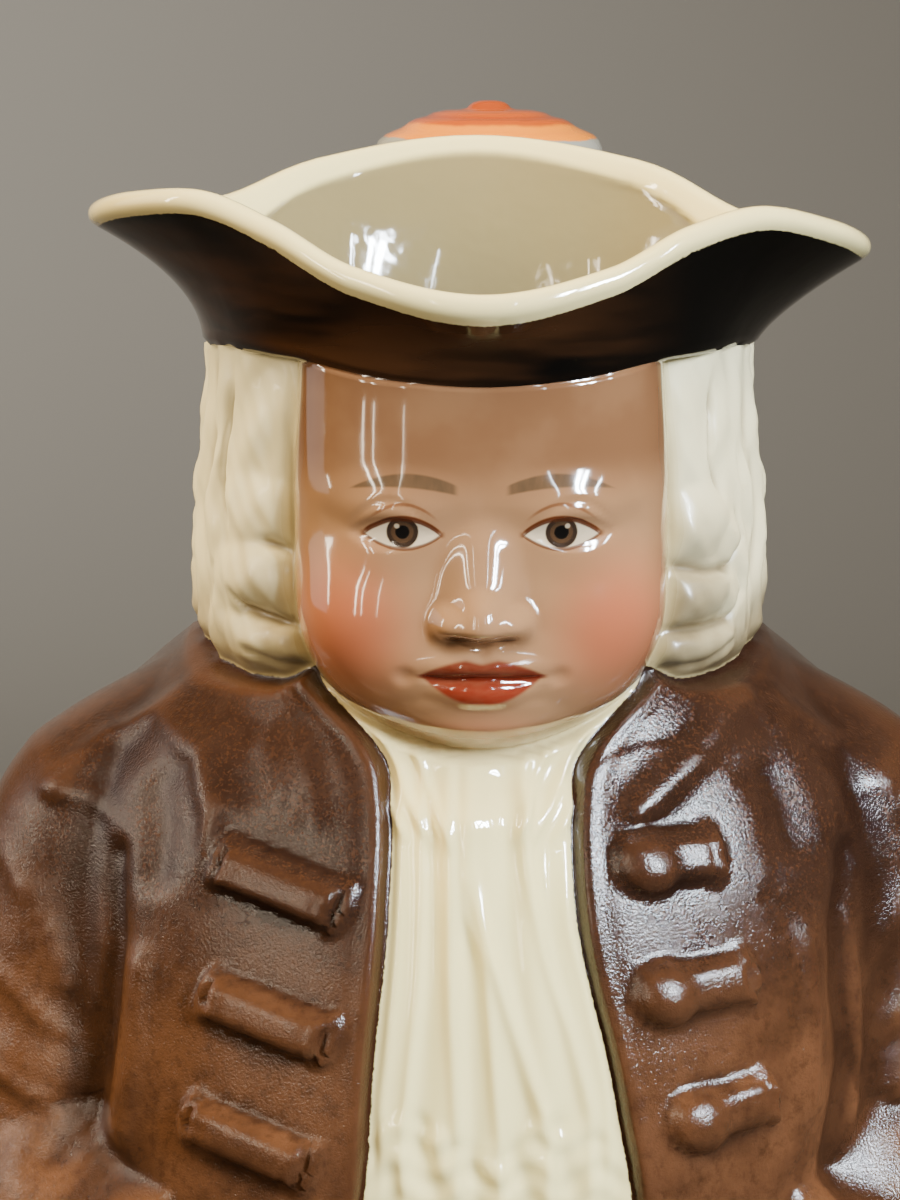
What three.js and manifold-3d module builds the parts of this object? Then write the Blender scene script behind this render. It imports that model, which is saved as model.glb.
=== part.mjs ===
// A glazed porcelain toby jug: the upper half of a man in a cocked hat, full-bottomed wig and long coat.
// The hat is the mouth of the jug, the figure is its hollow body, and a strap handle stands at the back.
// Millimetres, +Z up, the face looks along -Y, and the origin is the middle of the underside.
import * as THREE from "three";
import { ParametricGeometry } from "three/addons/geometries/ParametricGeometry.js";
import { mergeVertices } from "three/addons/utils/BufferGeometryUtils.js";
import Module from "manifold-3d";

const { lerp, degToRad, radToDeg, clamp } = THREE.MathUtils;
const square = (v) => v * v;
const eased = (t) => t * t * (3 - 2 * t);
const rise = (from, to, v) => eased(clamp((v - from) / (to - from), 0, 1)); // from may lie above to
const bump = (...offsets) => square(Math.max(0, 1 - offsets.reduce((sum, v) => sum + v * v, 0)));
const swell = (v) => Math.max(0, 1 - v * v) ** 1.3;

// ---- Driving dimensions ----
const HAT_LINE = 149; // height of the hat's lower edge
const CHIN = 103.5;
const COAT_FOOT = 7.4; // where the coat starts above the plinth
const PLINTH = { width: 60, front: 51, back: 47, height: 6.4, edge: 1.3 };
const BRIM_WALL = 3.2;
const HAT_OVERHANG = 1;
const FLOOR = 5.5; // thickness of the bottom
const HEAD_HALF = 37; // half width over the wig
const FACE_HALF = 23.6; // half width of the face between the wig's sides
const TORSO_SQUARENESS = 2.3;
const HEAD_SQUARENESS = 2.2;
const COLUMNS = 54; // faces round the skin
const FRONT_COLUMNS = 8; // of them between the middle and each edge of the coat
const EDGE_STEP = 0.9; // degrees on either side of that edge
const JOIN_TOLERANCE = 0.03; // slivers thinner than this are closed up where parts join

// Height above the foot, then half width, depth in front and depth behind, of each form without its relief.
const TORSO = profile([
  [7, 54.5, 46.5, 43],
  [20, 56, 49.5, 45],
  [38, 57, 52, 46.5],
  [55, 56.5, 51, 46],
  [72, 56, 48.5, 44.5],
  [86, 55, 45, 42.5],
  [95, 52.5, 41.5, 40.5],
  [101, 49, 38.5, 38.5],
  [107, 42.5, 35.5, 36],
  [112, 37, 33.5, 34.5],
  [118, 35, 33, 34],
]);
const HEAD = profile([
  [98, 34, 34, 37.5],
  [106, 36.5, 35.4, 39.4],
  [116, HEAD_HALF, 36, 40],
  [128, 36.8, 36.2, 40],
  [140, 35.6, 36, 38.4],
  [HAT_LINE, 34.8, 36, 36.8],
]);
const CAVITY = profile([
  [FLOOR, 42, 36, 33],
  [8, 48.5, 42.5, 39],
  [14, 50.5, 45, 41],
  [38, 52, 47.5, 42.5],
  [60, 51.5, 46, 42],
  [80, 50, 42, 39.5],
  [94, 46.5, 37, 36.5],
  [104, 38, 31.5, 32.5],
  [112, 32.6, 29.8, 31],
  [124, 33, 31.6, 34.5],
  [140, 31.6, 32.4, 34],
  [HAT_LINE, 31.2, 32.6, 33],
]);

// By the angle from the front, in degrees: the rim's reach and height.
const RIM_REACH = through([[0, 47], [20, 45.6], [36, 45.2], [55, 48], [76, 50.4], [96, 47], [125, 43.8], [150, 46], [180, 48.6]]);
const RIM_HEIGHT = through([[0, 160], [20, 163], [35, 168], [50, 171], [63, 170], [80, 167.6], [104, 165.4], [125, 166.6], [150, 170.8], [180, 173.4]]);
const RIM_DROOP = 4.2; // how much lower the hat's left point hangs

// Half the width between the coat's fronts and, above them, between the sides of the wig.
const OPENING = through([[7, 23], [30, 19.5], [52, 16.8], [70, 14.5], [78, 13], [86, 11.9], [95, 11.4], [101, 11.8], [104, 13.1], [109, 18], [112, 20.8], [121, 22.9], [130, 23.7], [136, 23.5], [HAT_LINE, 22]]);
const OPENING_SKEW = through([[52, 2], [62, 1.5], [90, 0]]); // how far it leans to the wearer's left
const COAT_THICKNESS = 1.6;
const JABOT_RISE = through([[41, -0.8], [46, 0.9], [60, 0.8], [80, 1.4], [92, 2.6], [100, 4.2], [112, 5.2]]);
const JABOT_HEM = 44; // below it the waistcoat shows
const FOLDS = 5;
const FOLD_DEPTH = 0.8;

// The face: an even oval in thirds from hairline to brow, brow to nose and nose to chin.
const FACE_THIRD = 16;
const NOSE_BASE = CHIN + FACE_THIRD;
const BROW = NOSE_BASE + FACE_THIRD;
const EYE_LINE = BROW - 4;
const MOUTH = NOSE_BASE - FACE_THIRD * 0.31;
const EYE_WIDTH = (2 * FACE_HALF) / 5; // five eyes across a face
const CHEEK_LINE = 122; // below it the sides of the face curve in
const FACE_RISE = through([[CHIN - 2, 4.5], [CHIN + 4, 6.5], [NOSE_BASE, 5.8], [EYE_LINE, 5], [BROW, 5.4], [HAT_LINE, 4.6]]);

const WIG_HEM = through([[0, 113], [34, 112.4], [43, 110.2], [55, 110], [75, 111.6], [90, 112], [120, 108.5], [150, 104.5], [180, 103]]);
const HAT_EDGE_RISE = through([[0, 0], [15, 0.6], [35, 2.2], [58, 2.2], [76, 1.2], [100, 0.6], [140, 0]]); // above HAT_LINE
const CURL_PITCH = 6.1;
const CURL_WIDTH = 15;
const CURL_DEPTH = 1.5;
const CURL_TOP = 134;

// The arm's line from the shoulder to the finger tips: degrees from the front (a millimetre of cloth each)
// and height. Along it, counted in points, the arm's half width and how far it stands out.
const ARM = [[82, 90], [80, 66], [75, 47], [58, 35], [42, 33], [28, 36], [18, 38]];
const ARM_HALF_WIDTH = through([[0, 19], [1, 20], [2, 19], [3, 16], [3.9, 16.5], [4.2, 9], [6, 8]]);
const ARM_RISE = through([[0, 10], [1, 12.5], [2, 13], [3, 11.5], [3.9, 12], [4.2, 8], [6, 6]]);

const TAB = { length: 17, height: 4.8, thickness: 3.6, round: 0.7, step: 15 };
const BUTTON = { radius: 3.3, flatness: 0.8 };
const TAB_HEIGHTS = [0, 1, 2].map((i) => 90.5 - TAB.step * i);

const HANDLE_SIDE = 2; // how far the handle stands to the wearer's left of the middle
const HANDLE_PATH = [[30, 156], [43, 163], [57, 166.5], [71, 160], [81, 143], [83.5, 120], [79, 96], [68, 74], [52, 59], [34, 51]];
const HANDLE_HALF_WIDTH = through([[0, 11], [0.25, 9.5], [0.6, 8], [0.85, 8.5], [1, 11]]);
const HANDLE_HALF_THICKNESS = through([[0, 5.4], [0.3, 5], [0.6, 4.6], [1, 6]]);
// The thumb rest: radius and height of its bands and knob.
const CAP = { behind: 62, height: 166, depthShare: 0.8 };
const CAP_OUTLINE = [[0, -7], [9, -6], [14.4, -2.4], [16.6, 1], [16.4, 4], [15, 4.6], [13.8, 6.8], [11.8, 7.8], [8, 9.6], [2.9, 10.4], [2.6, 11.4], [0, 12]];

const GLAZE = new THREE.MeshStandardMaterial({ color: 0xe9e2cf, roughness: 0.12, metalness: 0 });

// ---- Profiles and sections ----

// A smooth value through [place, value] pairs that never swings past them.
function through(pairs) {
  const slope = pairs.slice(1).map(([at, value], i) => (value - pairs[i][1]) / (at - pairs[i][0]));
  const tangent = pairs.map((_, i) => {
    const [before, after] = [slope[i - 1] ?? 0, slope[i] ?? 0]; // level at both ends
    return before * after > 0 ? (2 * before * after) / (before + after) : 0;
  });
  return (place) => {
    const at = clamp(place, pairs[0][0], pairs.at(-1)[0]);
    const i = Math.max(0, pairs.findIndex(([end]) => end >= at) - 1);
    const [[start, low], [end, high]] = [pairs[i], pairs[i + 1]];
    const [span, t] = [end - start, (at - start) / (end - start)];
    return lerp(low, high, eased(t)) + span * t * (1 - t) * ((1 - t) * tangent[i] - t * tangent[i + 1]);
  };
}

// Half width, front and back depth at a height.
function profile(rows) {
  const [width, front, back] = [1, 2, 3].map((column) => through(rows.map((row) => [row[0], row[column]])));
  return (height) => ({ width: width(height), front: front(height), back: back(height) });
}

// The reach of a rounded section in a direction, in degrees from the front.
function reach({ width, front, back }, angle, squareness) {
  const [across, along] = [Math.sin(degToRad(angle)), Math.cos(degToRad(angle))];
  const sides = Math.abs(across / width) ** squareness + Math.abs(along / (along > 0 ? front : back)) ** squareness;
  return sides ** (-1 / squareness);
}

// The direction in which a section's front is a given width from the middle.
function directionOf({ width, front }, x, squareness) {
  const depth = front * (1 - Math.abs(x / width) ** squareness) ** (1 / squareness);
  return radToDeg(Math.atan2(x, depth));
}

const torsoReach = (angle, z) => reach(TORSO(z), angle, TORSO_SQUARENESS);
const headReach = (angle, z) => reach(HEAD(z), angle, HEAD_SQUARENESS);
const cavityReach = (angle, z) => reach(CAVITY(z), angle, z < 104 ? TORSO_SQUARENESS : HEAD_SQUARENESS);
const headShare = (z) => rise(108, 114, z);
const openingEdge = (side, z) => side * OPENING(z) + OPENING_SKEW(z);

// ---- Relief, in millimetres outwards; x runs across the front and z is the height ----

// 0 in the middle of the face and 1 on its outline.
const faceOutline = (x, z) => Math.hypot(x / FACE_HALF, Math.max(0, CHEEK_LINE - z) / (CHEEK_LINE - CHIN));

function faceRelief(x, z) {
  const side = Math.abs(x);
  const eye = side - EYE_WIDTH;
  const down = clamp((BROW - 1 - z) / FACE_THIRD, 0, 1);
  const nose = (0.8 + 5 * down ** 1.3) * bump(x / (4 + 4 * down)) * rise(NOSE_BASE - 1.5, NOSE_BASE + 1.5, z);
  return (
    lerp(FACE_RISE(z), -1, Math.min(1, faceOutline(x, z)) ** 3.4) +
    (down > 0 ? nose : 0) +
    0.8 * bump((side - 9) / 9, (z - BROW) / 4) -
    2.2 * bump(eye / 7.5, (z - EYE_LINE) / 6) +
    1.5 * bump(eye / 5.2, (z - EYE_LINE) / 4) +
    2.2 * bump((side - 4.4) / 3, (z - NOSE_BASE - 2) / 3) +
    1.6 * bump((side - 14) / 10, (z - NOSE_BASE - 1) / 11) +
    1.6 * bump(x / 11, (z - MOUTH) / 7) +
    1.1 * bump(x / 7.5, (z - MOUTH - 1.6) / 2) +
    1.2 * bump(x / 6.5, (z - MOUTH + 1.8) / 2.2) +
    2 * bump(x / 8, (z - CHIN - 4) / 4.5)
  );
}

// Rows of rolled curls, each row half a curl round from the one above, under waved hair.
function wigRelief(angle, z) {
  const row = Math.floor((CURL_TOP - z) / CURL_PITCH);
  const across = (angle * 0.67) / CURL_WIDTH + (row % 2) / 2;
  const [u, v] = [across - Math.round(across), (CURL_TOP - z) / CURL_PITCH - row - 0.5];
  const curl = CURL_DEPTH * swell(2 * v) * (1 - 2.4 * u * u);
  const wave = 0.5 * Math.sin(degToRad(angle * 15) + Math.sin(z / 3));
  return lerp(curl, wave, rise(CURL_TOP - 3, CURL_TOP + 3, z));
}

function jabotRelief(x, z) {
  const across = (x - OPENING_SKEW(z)) / OPENING(z);
  const fold = FOLD_DEPTH * Math.cos(Math.PI * FOLDS * across + Math.sin(z / 17));
  return JABOT_RISE(z) * swell(across) - 1 + fold * rise(108, 98, z) * rise(JABOT_HEM - 2, JABOT_HEM + 2, z);
}

// The nearest place on the arm's line: how far along in points, and the distance to it.
function alongArm(angle, z) {
  const legs = ARM.slice(1).map(([endAngle, endHeight], i) => {
    const [startAngle, startHeight] = ARM[i];
    const [da, dz] = [endAngle - startAngle, endHeight - startHeight];
    const t = clamp(((angle - startAngle) * da + (z - startHeight) * dz) / (da * da + dz * dz), 0, 1);
    return { along: i + t, distance: Math.hypot(angle - startAngle - t * da, z - startHeight - t * dz) };
  });
  return legs.reduce((nearest, leg) => (leg.distance < nearest.distance ? leg : nearest));
}

function armRelief(angle, z) {
  const { along, distance } = alongArm(Math.abs(angle), z);
  return ARM_RISE(along) * swell(distance / ARM_HALF_WIDTH(along));
}

function coatRelief(angle, x, z) {
  const inward = Math.abs(angle) < 90 ? Math.abs(x - OPENING_SKEW(z)) - OPENING(z) : 90;
  const edge = COAT_THICKNESS * (rise(-0.5, 0.5, inward) - 0.5 * rise(2, 14, inward));
  const pleats = 0.7 * Math.cos(degToRad(angle * 9)) * rise(30, 12, z) * rise(70, 95, Math.abs(angle));
  return edge + pleats + armRelief(angle, z);
}

// ---- The skin, ring by ring ----

function outside(angle, z) {
  const [torso, head] = [torsoReach(angle, z), headReach(angle, z)];
  const x = lerp(torso, head, headShare(z)) * Math.sin(degToRad(angle));
  const inFront = Math.abs(angle) < 75;
  const beside = inFront ? rise(-0.5, 0.5, Math.abs(x - OPENING_SKEW(z)) - OPENING(z)) : 1;
  const onFace = inFront ? rise(1.04, 0.98, faceOutline(x, z)) * (1 - beside) : 0;
  const onWig = rise(-2.2, 2.2, z - WIG_HEM(Math.abs(angle))) * beside;
  const dressed = torso + lerp(jabotRelief(x, z), coatRelief(angle, x, z), beside);
  return lerp(lerp(dressed, head + wigRelief(angle, z), onWig), head + faceRelief(x, z), onFace);
}

const rimReach = (angle) => RIM_REACH(Math.abs(angle)) - 0.7;
const rimHeight = (angle) => RIM_HEIGHT(Math.abs(angle)) - RIM_DROOP * bump((angle - 84) / 60) - 2.3;
const flare = (angle) => 1.7 - 0.35 * Math.sin(degToRad(angle)); // how late the brim turns outwards

// The outer face of the brim from the hat's lower edge, 0, to its rim, 1.
function brimLine(angle, share) {
  const foot = headReach(angle, HAT_LINE) + HAT_OVERHANG + 4 * bump(angle / 62);
  const height = lerp(HAT_LINE + HAT_EDGE_RISE(Math.abs(angle)), rimHeight(angle), share);
  return [lerp(foot, rimReach(angle), share ** flare(angle)), height];
}

// A place in the brim's wall, inset from its outer face and beyond that share of its length.
function brim(angle, share, inset, beyond = 0) {
  const near = clamp(share, 0.01, 0.99);
  const [[r0, z0], [r1, z1]] = [brimLine(angle, near - 0.01), brimLine(angle, near + 0.01)];
  const [radius, height] = brimLine(angle, share);
  const length = Math.hypot(r1 - r0, z1 - z0);
  const [dr, dz] = [(r1 - r0) / length, (z1 - z0) / length];
  return [radius - inset * dz + beyond * dr, height + inset * dr + beyond * dz];
}

function lip(angle, turn) {
  const half = BRIM_WALL / 2;
  return brim(angle, 1, half * (1 - Math.cos(turn)), half * Math.sin(turn));
}

const plinth = (angle, inset, height) => [reach(PLINTH, angle, TORSO_SQUARENESS) - inset, height];
const steps = (from, to, count) => Array.from({ length: count }, (_, i) => from + ((to - from) * i) / count);
const raised = (angle, z) => z + HAT_EDGE_RISE(Math.abs(angle)) * rise(136, HAT_LINE, z);
const figureRing = (z) => ({ layout: z, at: (angle) => [outside(angle, z), raised(angle, z)] });
const brimRing = (at) => ({ layout: HAT_LINE, at });
const plinthRing = (at) => ({ layout: COAT_FOOT, at });

// The underside, the figure, the brim, the rim, and back down inside to the floor.
const { height: PLINTH_TOP, edge: PLINTH_EDGE } = PLINTH;
const RINGS = [
  plinthRing(() => [0, 0]),
  plinthRing((angle) => plinth(angle, PLINTH_EDGE, 0)),
  plinthRing((angle) => plinth(angle, 0, PLINTH_EDGE)),
  plinthRing((angle) => plinth(angle, 0, PLINTH_TOP - PLINTH_EDGE)),
  plinthRing((angle) => plinth(angle, PLINTH_EDGE, PLINTH_TOP)),
  ...steps(COAT_FOOT, 100, 25).map(figureRing),
  ...steps(100, HAT_LINE, 23).map(figureRing),
  figureRing(HAT_LINE - 0.2),
  ...steps(0, 1, 5).map((share) => brimRing((angle) => brim(angle, share, 0))),
  ...[0, 0.3, 0.6, 1].map((turn) => brimRing((angle) => lip(angle, turn * Math.PI))),
  ...steps(0.8, 0, 3).map((share) => brimRing((angle) => brim(angle, share, BRIM_WALL))),
  ...[HAT_LINE - 2, 138, 124, 112, 104, 94, 80, 60, 38, 14, 8, FLOOR].map((z) =>
    brimRing((angle) => [cavityReach(angle, z), z]),
  ),
  brimRing(() => [0, FLOOR]),
];

// The angle of a column, which follows the coat's front edges and, above them, the sides of the face.
function columnAngle(share, height) {
  const turn = share < 1 ? 2 * share - 1 : -1;
  const side = turn < 0 ? -1 : 1;
  const place = (Math.abs(turn) * COLUMNS) / 2;
  const [coat, face] = [[TORSO, TORSO_SQUARENESS], [HEAD, HEAD_SQUARENESS]].map(([section, squareness]) =>
    directionOf(section(height), openingEdge(side, height), squareness),
  );
  const edge = side * lerp(coat, face, headShare(height));
  const beyond = clamp((place - FRONT_COLUMNS - 1) / (COLUMNS / 2 - FRONT_COLUMNS - 1), 0, 1);
  const inFront = (place / FRONT_COLUMNS) * (edge - EDGE_STEP);
  const behind = lerp(edge + EDGE_STEP, 180, beyond * (0.8 + 0.2 * beyond));
  return side * (place > FRONT_COLUMNS ? behind : inFront);
}

// A closed skin over rings, the first and last of which are points on the axis.
function turned(rings, columns, angleOf) {
  const last = rings.length - 1;
  const place = (u, v, target) => {
    const ring = rings[Math.round(v * last)];
    const angle = angleOf(u, ring.layout);
    const [radius, height] = ring.at(angle);
    target.set(radius * Math.sin(degToRad(angle)), -radius * Math.cos(degToRad(angle)), height);
  };
  return new ParametricGeometry(place, columns, last);
}

// ---- Luted parts ----

// The space up to the middle of the wall, out of which the handle's roots are cut.
function coreGeometry() {
  const rings = [
    brimRing(() => [0, FLOOR]),
    ...[FLOOR, 14, 38, 60, 80, 94, 104, 112, 124, 140, HAT_LINE].map((z) =>
      brimRing((angle) => [cavityReach(angle, z) + 1.5, z]),
    ),
    ...[0.25, 0.5, 0.75, 1].map((share) => brimRing((angle) => brim(angle, share, BRIM_WALL / 2))),
    brimRing(() => [0, 176]),
  ];
  return turned(rings, 40, (share) => 360 * (share < 1 ? share : 0) - 180);
}

function handleGeometry() {
  const path = new THREE.CatmullRomCurve3(HANDLE_PATH.map(([y, z]) => new THREE.Vector3(HANDLE_SIDE, y, z)));
  const place = (u, v, target) => {
    const turn = 2 * Math.PI * (u < 1 ? u : 0);
    const share = clamp(v, 0, 1);
    const size = share > 0 && share < 1 ? 1 : 0;
    const tangent = path.getTangent(share);
    const outward = new THREE.Vector3(0, tangent.z, -tangent.y);
    target.copy(path.getPoint(share));
    target.x += size * HANDLE_HALF_WIDTH(share) * Math.cos(turn);
    target.addScaledVector(outward, size * HANDLE_HALF_THICKNESS(share) * Math.sin(turn));
  };
  return new ParametricGeometry(place, 12, 26);
}

// A flattened bun of bands with a small knob on top, turned round an upright axis.
function capGeometry() {
  const geometry = new THREE.LatheGeometry(CAP_OUTLINE.map(([radius, height]) => new THREE.Vector2(radius, height)), 18);
  geometry.rotateX(Math.PI / 2).scale(1, CAP.depthShare, 1);
  return geometry.translate(HANDLE_SIDE, CAP.behind, CAP.height);
}

// A point on the coat at a width and a height.
function onCoat(x, z) {
  const y = -TORSO(z).front * (1 - Math.abs(x / TORSO(z).width) ** TORSO_SQUARENESS) ** (1 / TORSO_SQUARENESS);
  return new THREE.Vector3(x, y, z);
}

// Lays a piece on the coat, its own z axis standing out from the cloth.
function laidOnCoat(geometry, x, z, slant) {
  const across = onCoat(x + 3, z).sub(onCoat(x - 3, z)).normalize();
  const up = onCoat(x, z + 3).sub(onCoat(x, z - 3)).normalize();
  const out = across.clone().cross(up).normalize();
  const frame = new THREE.Matrix4().makeBasis(across, out.clone().cross(across), out);
  frame.setPosition(onCoat(x, z).addScaledVector(out, COAT_THICKNESS / 2));
  return geometry.rotateZ(slant).applyMatrix4(frame);
}

// A flat bar of cloth with its edges rounded, half sunk in the coat.
function tabGeometry() {
  const { length, height, thickness, round } = TAB;
  const shape = new THREE.Shape();
  shape.moveTo(round - length / 2, round - height / 2).lineTo(length / 2 - round, round - height / 2);
  shape.lineTo(length / 2 - round, height / 2 - round).lineTo(round - length / 2, height / 2 - round);
  const bevel = { bevelThickness: round, bevelSize: round, bevelSegments: 1 };
  const geometry = new THREE.ExtrudeGeometry(shape, { depth: thickness - 2 * round, steps: 1, ...bevel });
  return geometry.translate(0, 0, round - thickness / 2);
}

function buttonGeometry() {
  const geometry = new THREE.SphereGeometry(BUTTON.radius, 8, 6).rotateX(Math.PI / 2);
  return geometry.scale(1, 1, BUTTON.flatness).translate(0, 0, 1);
}

// Buttonhole tabs down both fronts of the coat, with the buttons on the wearer's left.
function coatFastenings() {
  return TAB_HEIGHTS.flatMap((height) => {
    const [right, left] = [height - 1.6, height + 1.6];
    const [rightX, leftX] = [openingEdge(-1, right) - 12, openingEdge(1, left) + 11.6];
    return [
      laidOnCoat(tabGeometry(), rightX, right, -0.16),
      laidOnCoat(tabGeometry(), leftX, left, 0.06),
      laidOnCoat(buttonGeometry(), leftX - 6.4, left - 0.6, 0),
    ];
  });
}

// ---- Assembly ----

const wasm = await Module();
wasm.setup();

function solid(geometry) {
  const bare = geometry.clone();
  bare.deleteAttribute("normal");
  bare.deleteAttribute("uv");
  const merged = mergeVertices(bare, 1e-4);
  const mesh = new wasm.Mesh({
    numProp: 3,
    vertProperties: merged.attributes.position.array,
    triVerts: new Uint32Array(merged.index.array),
  });
  return new wasm.Manifold(mesh);
}

function geometryOf(manifold) {
  const { numProp, numVert, vertProperties, triVerts } = manifold.getMesh();
  const positions = new Float32Array(numVert * 3);
  for (let i = 0; i < numVert; i += 1) positions.set(vertProperties.subarray(i * numProp, i * numProp + 3), i * 3);
  const geometry = new THREE.BufferGeometry();
  geometry.setAttribute("position", new THREE.BufferAttribute(positions, 3));
  geometry.setIndex(new THREE.BufferAttribute(triVerts, 1));
  geometry.computeVertexNormals();
  return geometry;
}

function jugSolid() {
  const skin = solid(turned(RINGS, COLUMNS, columnAngle));
  const handle = solid(handleGeometry()).add(solid(capGeometry())).subtract(solid(coreGeometry()));
  const fastenings = coatFastenings().map(solid);
  return fastenings.reduce((whole, piece) => whole.add(piece), skin.add(handle)).simplify(JOIN_TOLERANCE);
}

const jug = new THREE.Mesh(geometryOf(jugSolid()), GLAZE);
jug.name = "jug";

const part = new THREE.Group();
part.add(jug);

export default part;
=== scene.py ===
# The looks of a glazed porcelain toby jug: one cast and painted skin, with its strap handle and thumb rest.
# Shapes are worked out in millimetres, with the face towards -Y, and handed over in metres.
import math

import bpy
import numpy as np
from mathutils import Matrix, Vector


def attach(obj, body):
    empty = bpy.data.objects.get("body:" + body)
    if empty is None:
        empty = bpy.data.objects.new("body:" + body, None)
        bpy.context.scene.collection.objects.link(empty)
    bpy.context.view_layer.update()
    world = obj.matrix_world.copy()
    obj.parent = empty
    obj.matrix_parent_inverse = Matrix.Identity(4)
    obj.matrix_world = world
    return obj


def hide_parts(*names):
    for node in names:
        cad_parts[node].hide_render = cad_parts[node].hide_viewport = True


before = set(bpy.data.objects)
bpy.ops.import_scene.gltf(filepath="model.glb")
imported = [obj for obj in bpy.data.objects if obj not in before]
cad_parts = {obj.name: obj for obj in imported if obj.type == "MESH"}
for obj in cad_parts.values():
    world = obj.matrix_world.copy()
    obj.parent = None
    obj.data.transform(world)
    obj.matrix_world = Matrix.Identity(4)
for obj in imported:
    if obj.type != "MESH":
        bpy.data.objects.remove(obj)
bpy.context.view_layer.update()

MM = 0.001

# ---- Driving dimensions, the same as the solid's ----
HAT_LINE = 149
CHIN = 103.5
COAT_FOOT = 7.4
PLINTH = (60, 51, 47)
PLINTH_TOP = 6.4
BRIM_WALL = 3.2
HAT_OVERHANG = 1
FLOOR = 5.5
FACE_HALF = 23.6
TORSO_SQUARENESS = 2.3
HEAD_SQUARENESS = 2.2
COAT_THICKNESS = 1.6
JABOT_HEM = 44
RIM_DROOP = 4.2
RIM_LEVEL = -2.3
RIM_INSET = 0.7

# The face: an even oval in thirds from hairline to brow, brow to nose and nose to chin.
FACE_THIRD = 16
NOSE_BASE = CHIN + FACE_THIRD
BROW = NOSE_BASE + FACE_THIRD
EYE_LINE = BROW - 4
MOUTH = NOSE_BASE - FACE_THIRD * 0.31
EYE_X = 2 * FACE_HALF / 5
EYE_HALF = EYE_X / 2
CHEEK_LINE = 122

HANDLE_SIDE = 2
CAP_BEHIND = 62
CAP_HEIGHT = 166


# ---- Curves and profiles ----

def through(*pairs):
    """A smooth value through (place, value) pairs that never swings past them."""
    at, value = np.array(pairs, float).T
    slope = np.diff(value) / np.diff(at)
    before, after = np.append(0, slope), np.append(slope, 0)
    both = before * after
    tangent = np.where(both > 0, 2 * both / np.where(both > 0, before + after, 1), 0)

    def read(place):
        p = np.clip(place, at[0], at[-1])
        i = np.clip(np.searchsorted(at, p, side="right") - 1, 0, len(at) - 2)
        span = at[i + 1] - at[i]
        t = (p - at[i]) / span
        swing = span * t * (1 - t) * ((1 - t) * tangent[i] - t * tangent[i + 1])
        return value[i] + (value[i + 1] - value[i]) * t * t * (3 - 2 * t) + swing

    return read


def profile(*rows):
    """Half width, depth in front and depth behind at a height."""
    columns = [through(*[(row[0], row[i]) for row in rows]) for i in (1, 2, 3)]
    return lambda height: [column(height) for column in columns]


def mix(low, high, share):
    return low + (high - low) * share


def rise(start, end, v):
    t = np.clip((v - start) / (end - start), 0, 1)
    return t * t * (3 - 2 * t)


def bump(*offsets):
    return np.maximum(0, 1 - sum(v * v for v in offsets)) ** 2


def swell(v, power=1.3):
    return np.maximum(0, 1 - v * v) ** power


def ridge(v):
    """A rounded ridge one half width to each side."""
    return np.exp(-2.2 * v * v)


def soft_max(a, b, blend):
    share = np.clip(0.5 + 0.5 * (a - b) / blend, 0, 1)
    return mix(b, a, share) + blend * share * (1 - share)


TORSO = profile(
    (7, 54.5, 46.5, 43), (20, 56, 49.5, 45), (38, 57, 52, 46.5), (55, 56.5, 51, 46), (72, 56, 48.5, 44.5),
    (86, 55, 45, 42.5), (95, 52.5, 41.5, 40.5), (101, 49, 38.5, 38.5), (107, 42.5, 35.5, 36),
    (112, 37, 33.5, 34.5), (118, 35, 33, 34))
HEAD = profile(
    (98, 34, 34, 37.5), (106, 36.5, 35.4, 39.4), (116, 37, 36, 40), (128, 36.8, 36.2, 40),
    (140, 35.6, 36, 38.4), (HAT_LINE, 34.8, 36, 36.8))
CAVITY = profile(
    (FLOOR, 42, 36, 33), (8, 48.5, 42.5, 39), (14, 50.5, 45, 41), (38, 52, 47.5, 42.5), (60, 51.5, 46, 42),
    (80, 50, 42, 39.5), (94, 46.5, 37, 36.5), (104, 38, 31.5, 32.5), (112, 32.6, 29.8, 31),
    (124, 33, 31.6, 34.5), (140, 31.6, 32.4, 34), (HAT_LINE, 31.2, 32.6, 33))
RIM_REACH = through(
    (0, 47), (20, 45.6), (36, 45.2), (55, 48), (76, 50.4), (96, 47), (125, 43.8), (150, 46), (180, 48.6))
RIM_HEIGHT = through(
    (0, 160), (20, 163), (35, 168), (50, 171), (63, 170), (80, 167.6), (104, 165.4), (125, 166.6),
    (150, 170.8), (180, 173.4))
OPENING = through(
    (7, 23), (30, 19.5), (52, 16.8), (70, 14.5), (78, 13), (86, 11.9), (95, 11.4), (101, 11.8), (104, 13.1),
    (109, 18), (112, 20.8), (121, 22.9), (130, 23.7), (136, 23.5), (HAT_LINE, 22))
OPENING_SKEW = through((52, 2), (62, 1.5), (90, 0))
JABOT_RISE = through((41, -0.8), (46, 0.9), (60, 0.8), (80, 1.4), (92, 2.6), (100, 4.2), (112, 5.2))
FACE_RISE = through(
    (CHIN - 2, 4.5), (CHIN + 4, 6.5), (NOSE_BASE, 5.8), (EYE_LINE, 5), (BROW, 5.4), (HAT_LINE, 4.6))
WIG_HEM = through(
    (0, 113), (34, 112.4), (43, 110.2), (55, 110), (75, 111.6), (90, 112), (120, 108.5), (150, 104.5),
    (180, 103))
HAT_EDGE_RISE = through((0, 0), (15, 0.6), (35, 2.2), (58, 2.2), (76, 1.2), (100, 0.6), (140, 0))


def reach(section, angle, squareness):
    """The reach of a rounded section in a direction, in degrees from the front."""
    width, front, back = section
    across, along = np.sin(np.radians(angle)), np.cos(np.radians(angle))
    depth = np.where(along > 0, front, back)
    return (np.abs(across / width) ** squareness + np.abs(along / depth) ** squareness) ** (-1 / squareness)


def torso_reach(angle, z):
    return reach(TORSO(z), angle, TORSO_SQUARENESS)


def head_reach(angle, z):
    return reach(HEAD(z), angle, HEAD_SQUARENESS)


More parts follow.
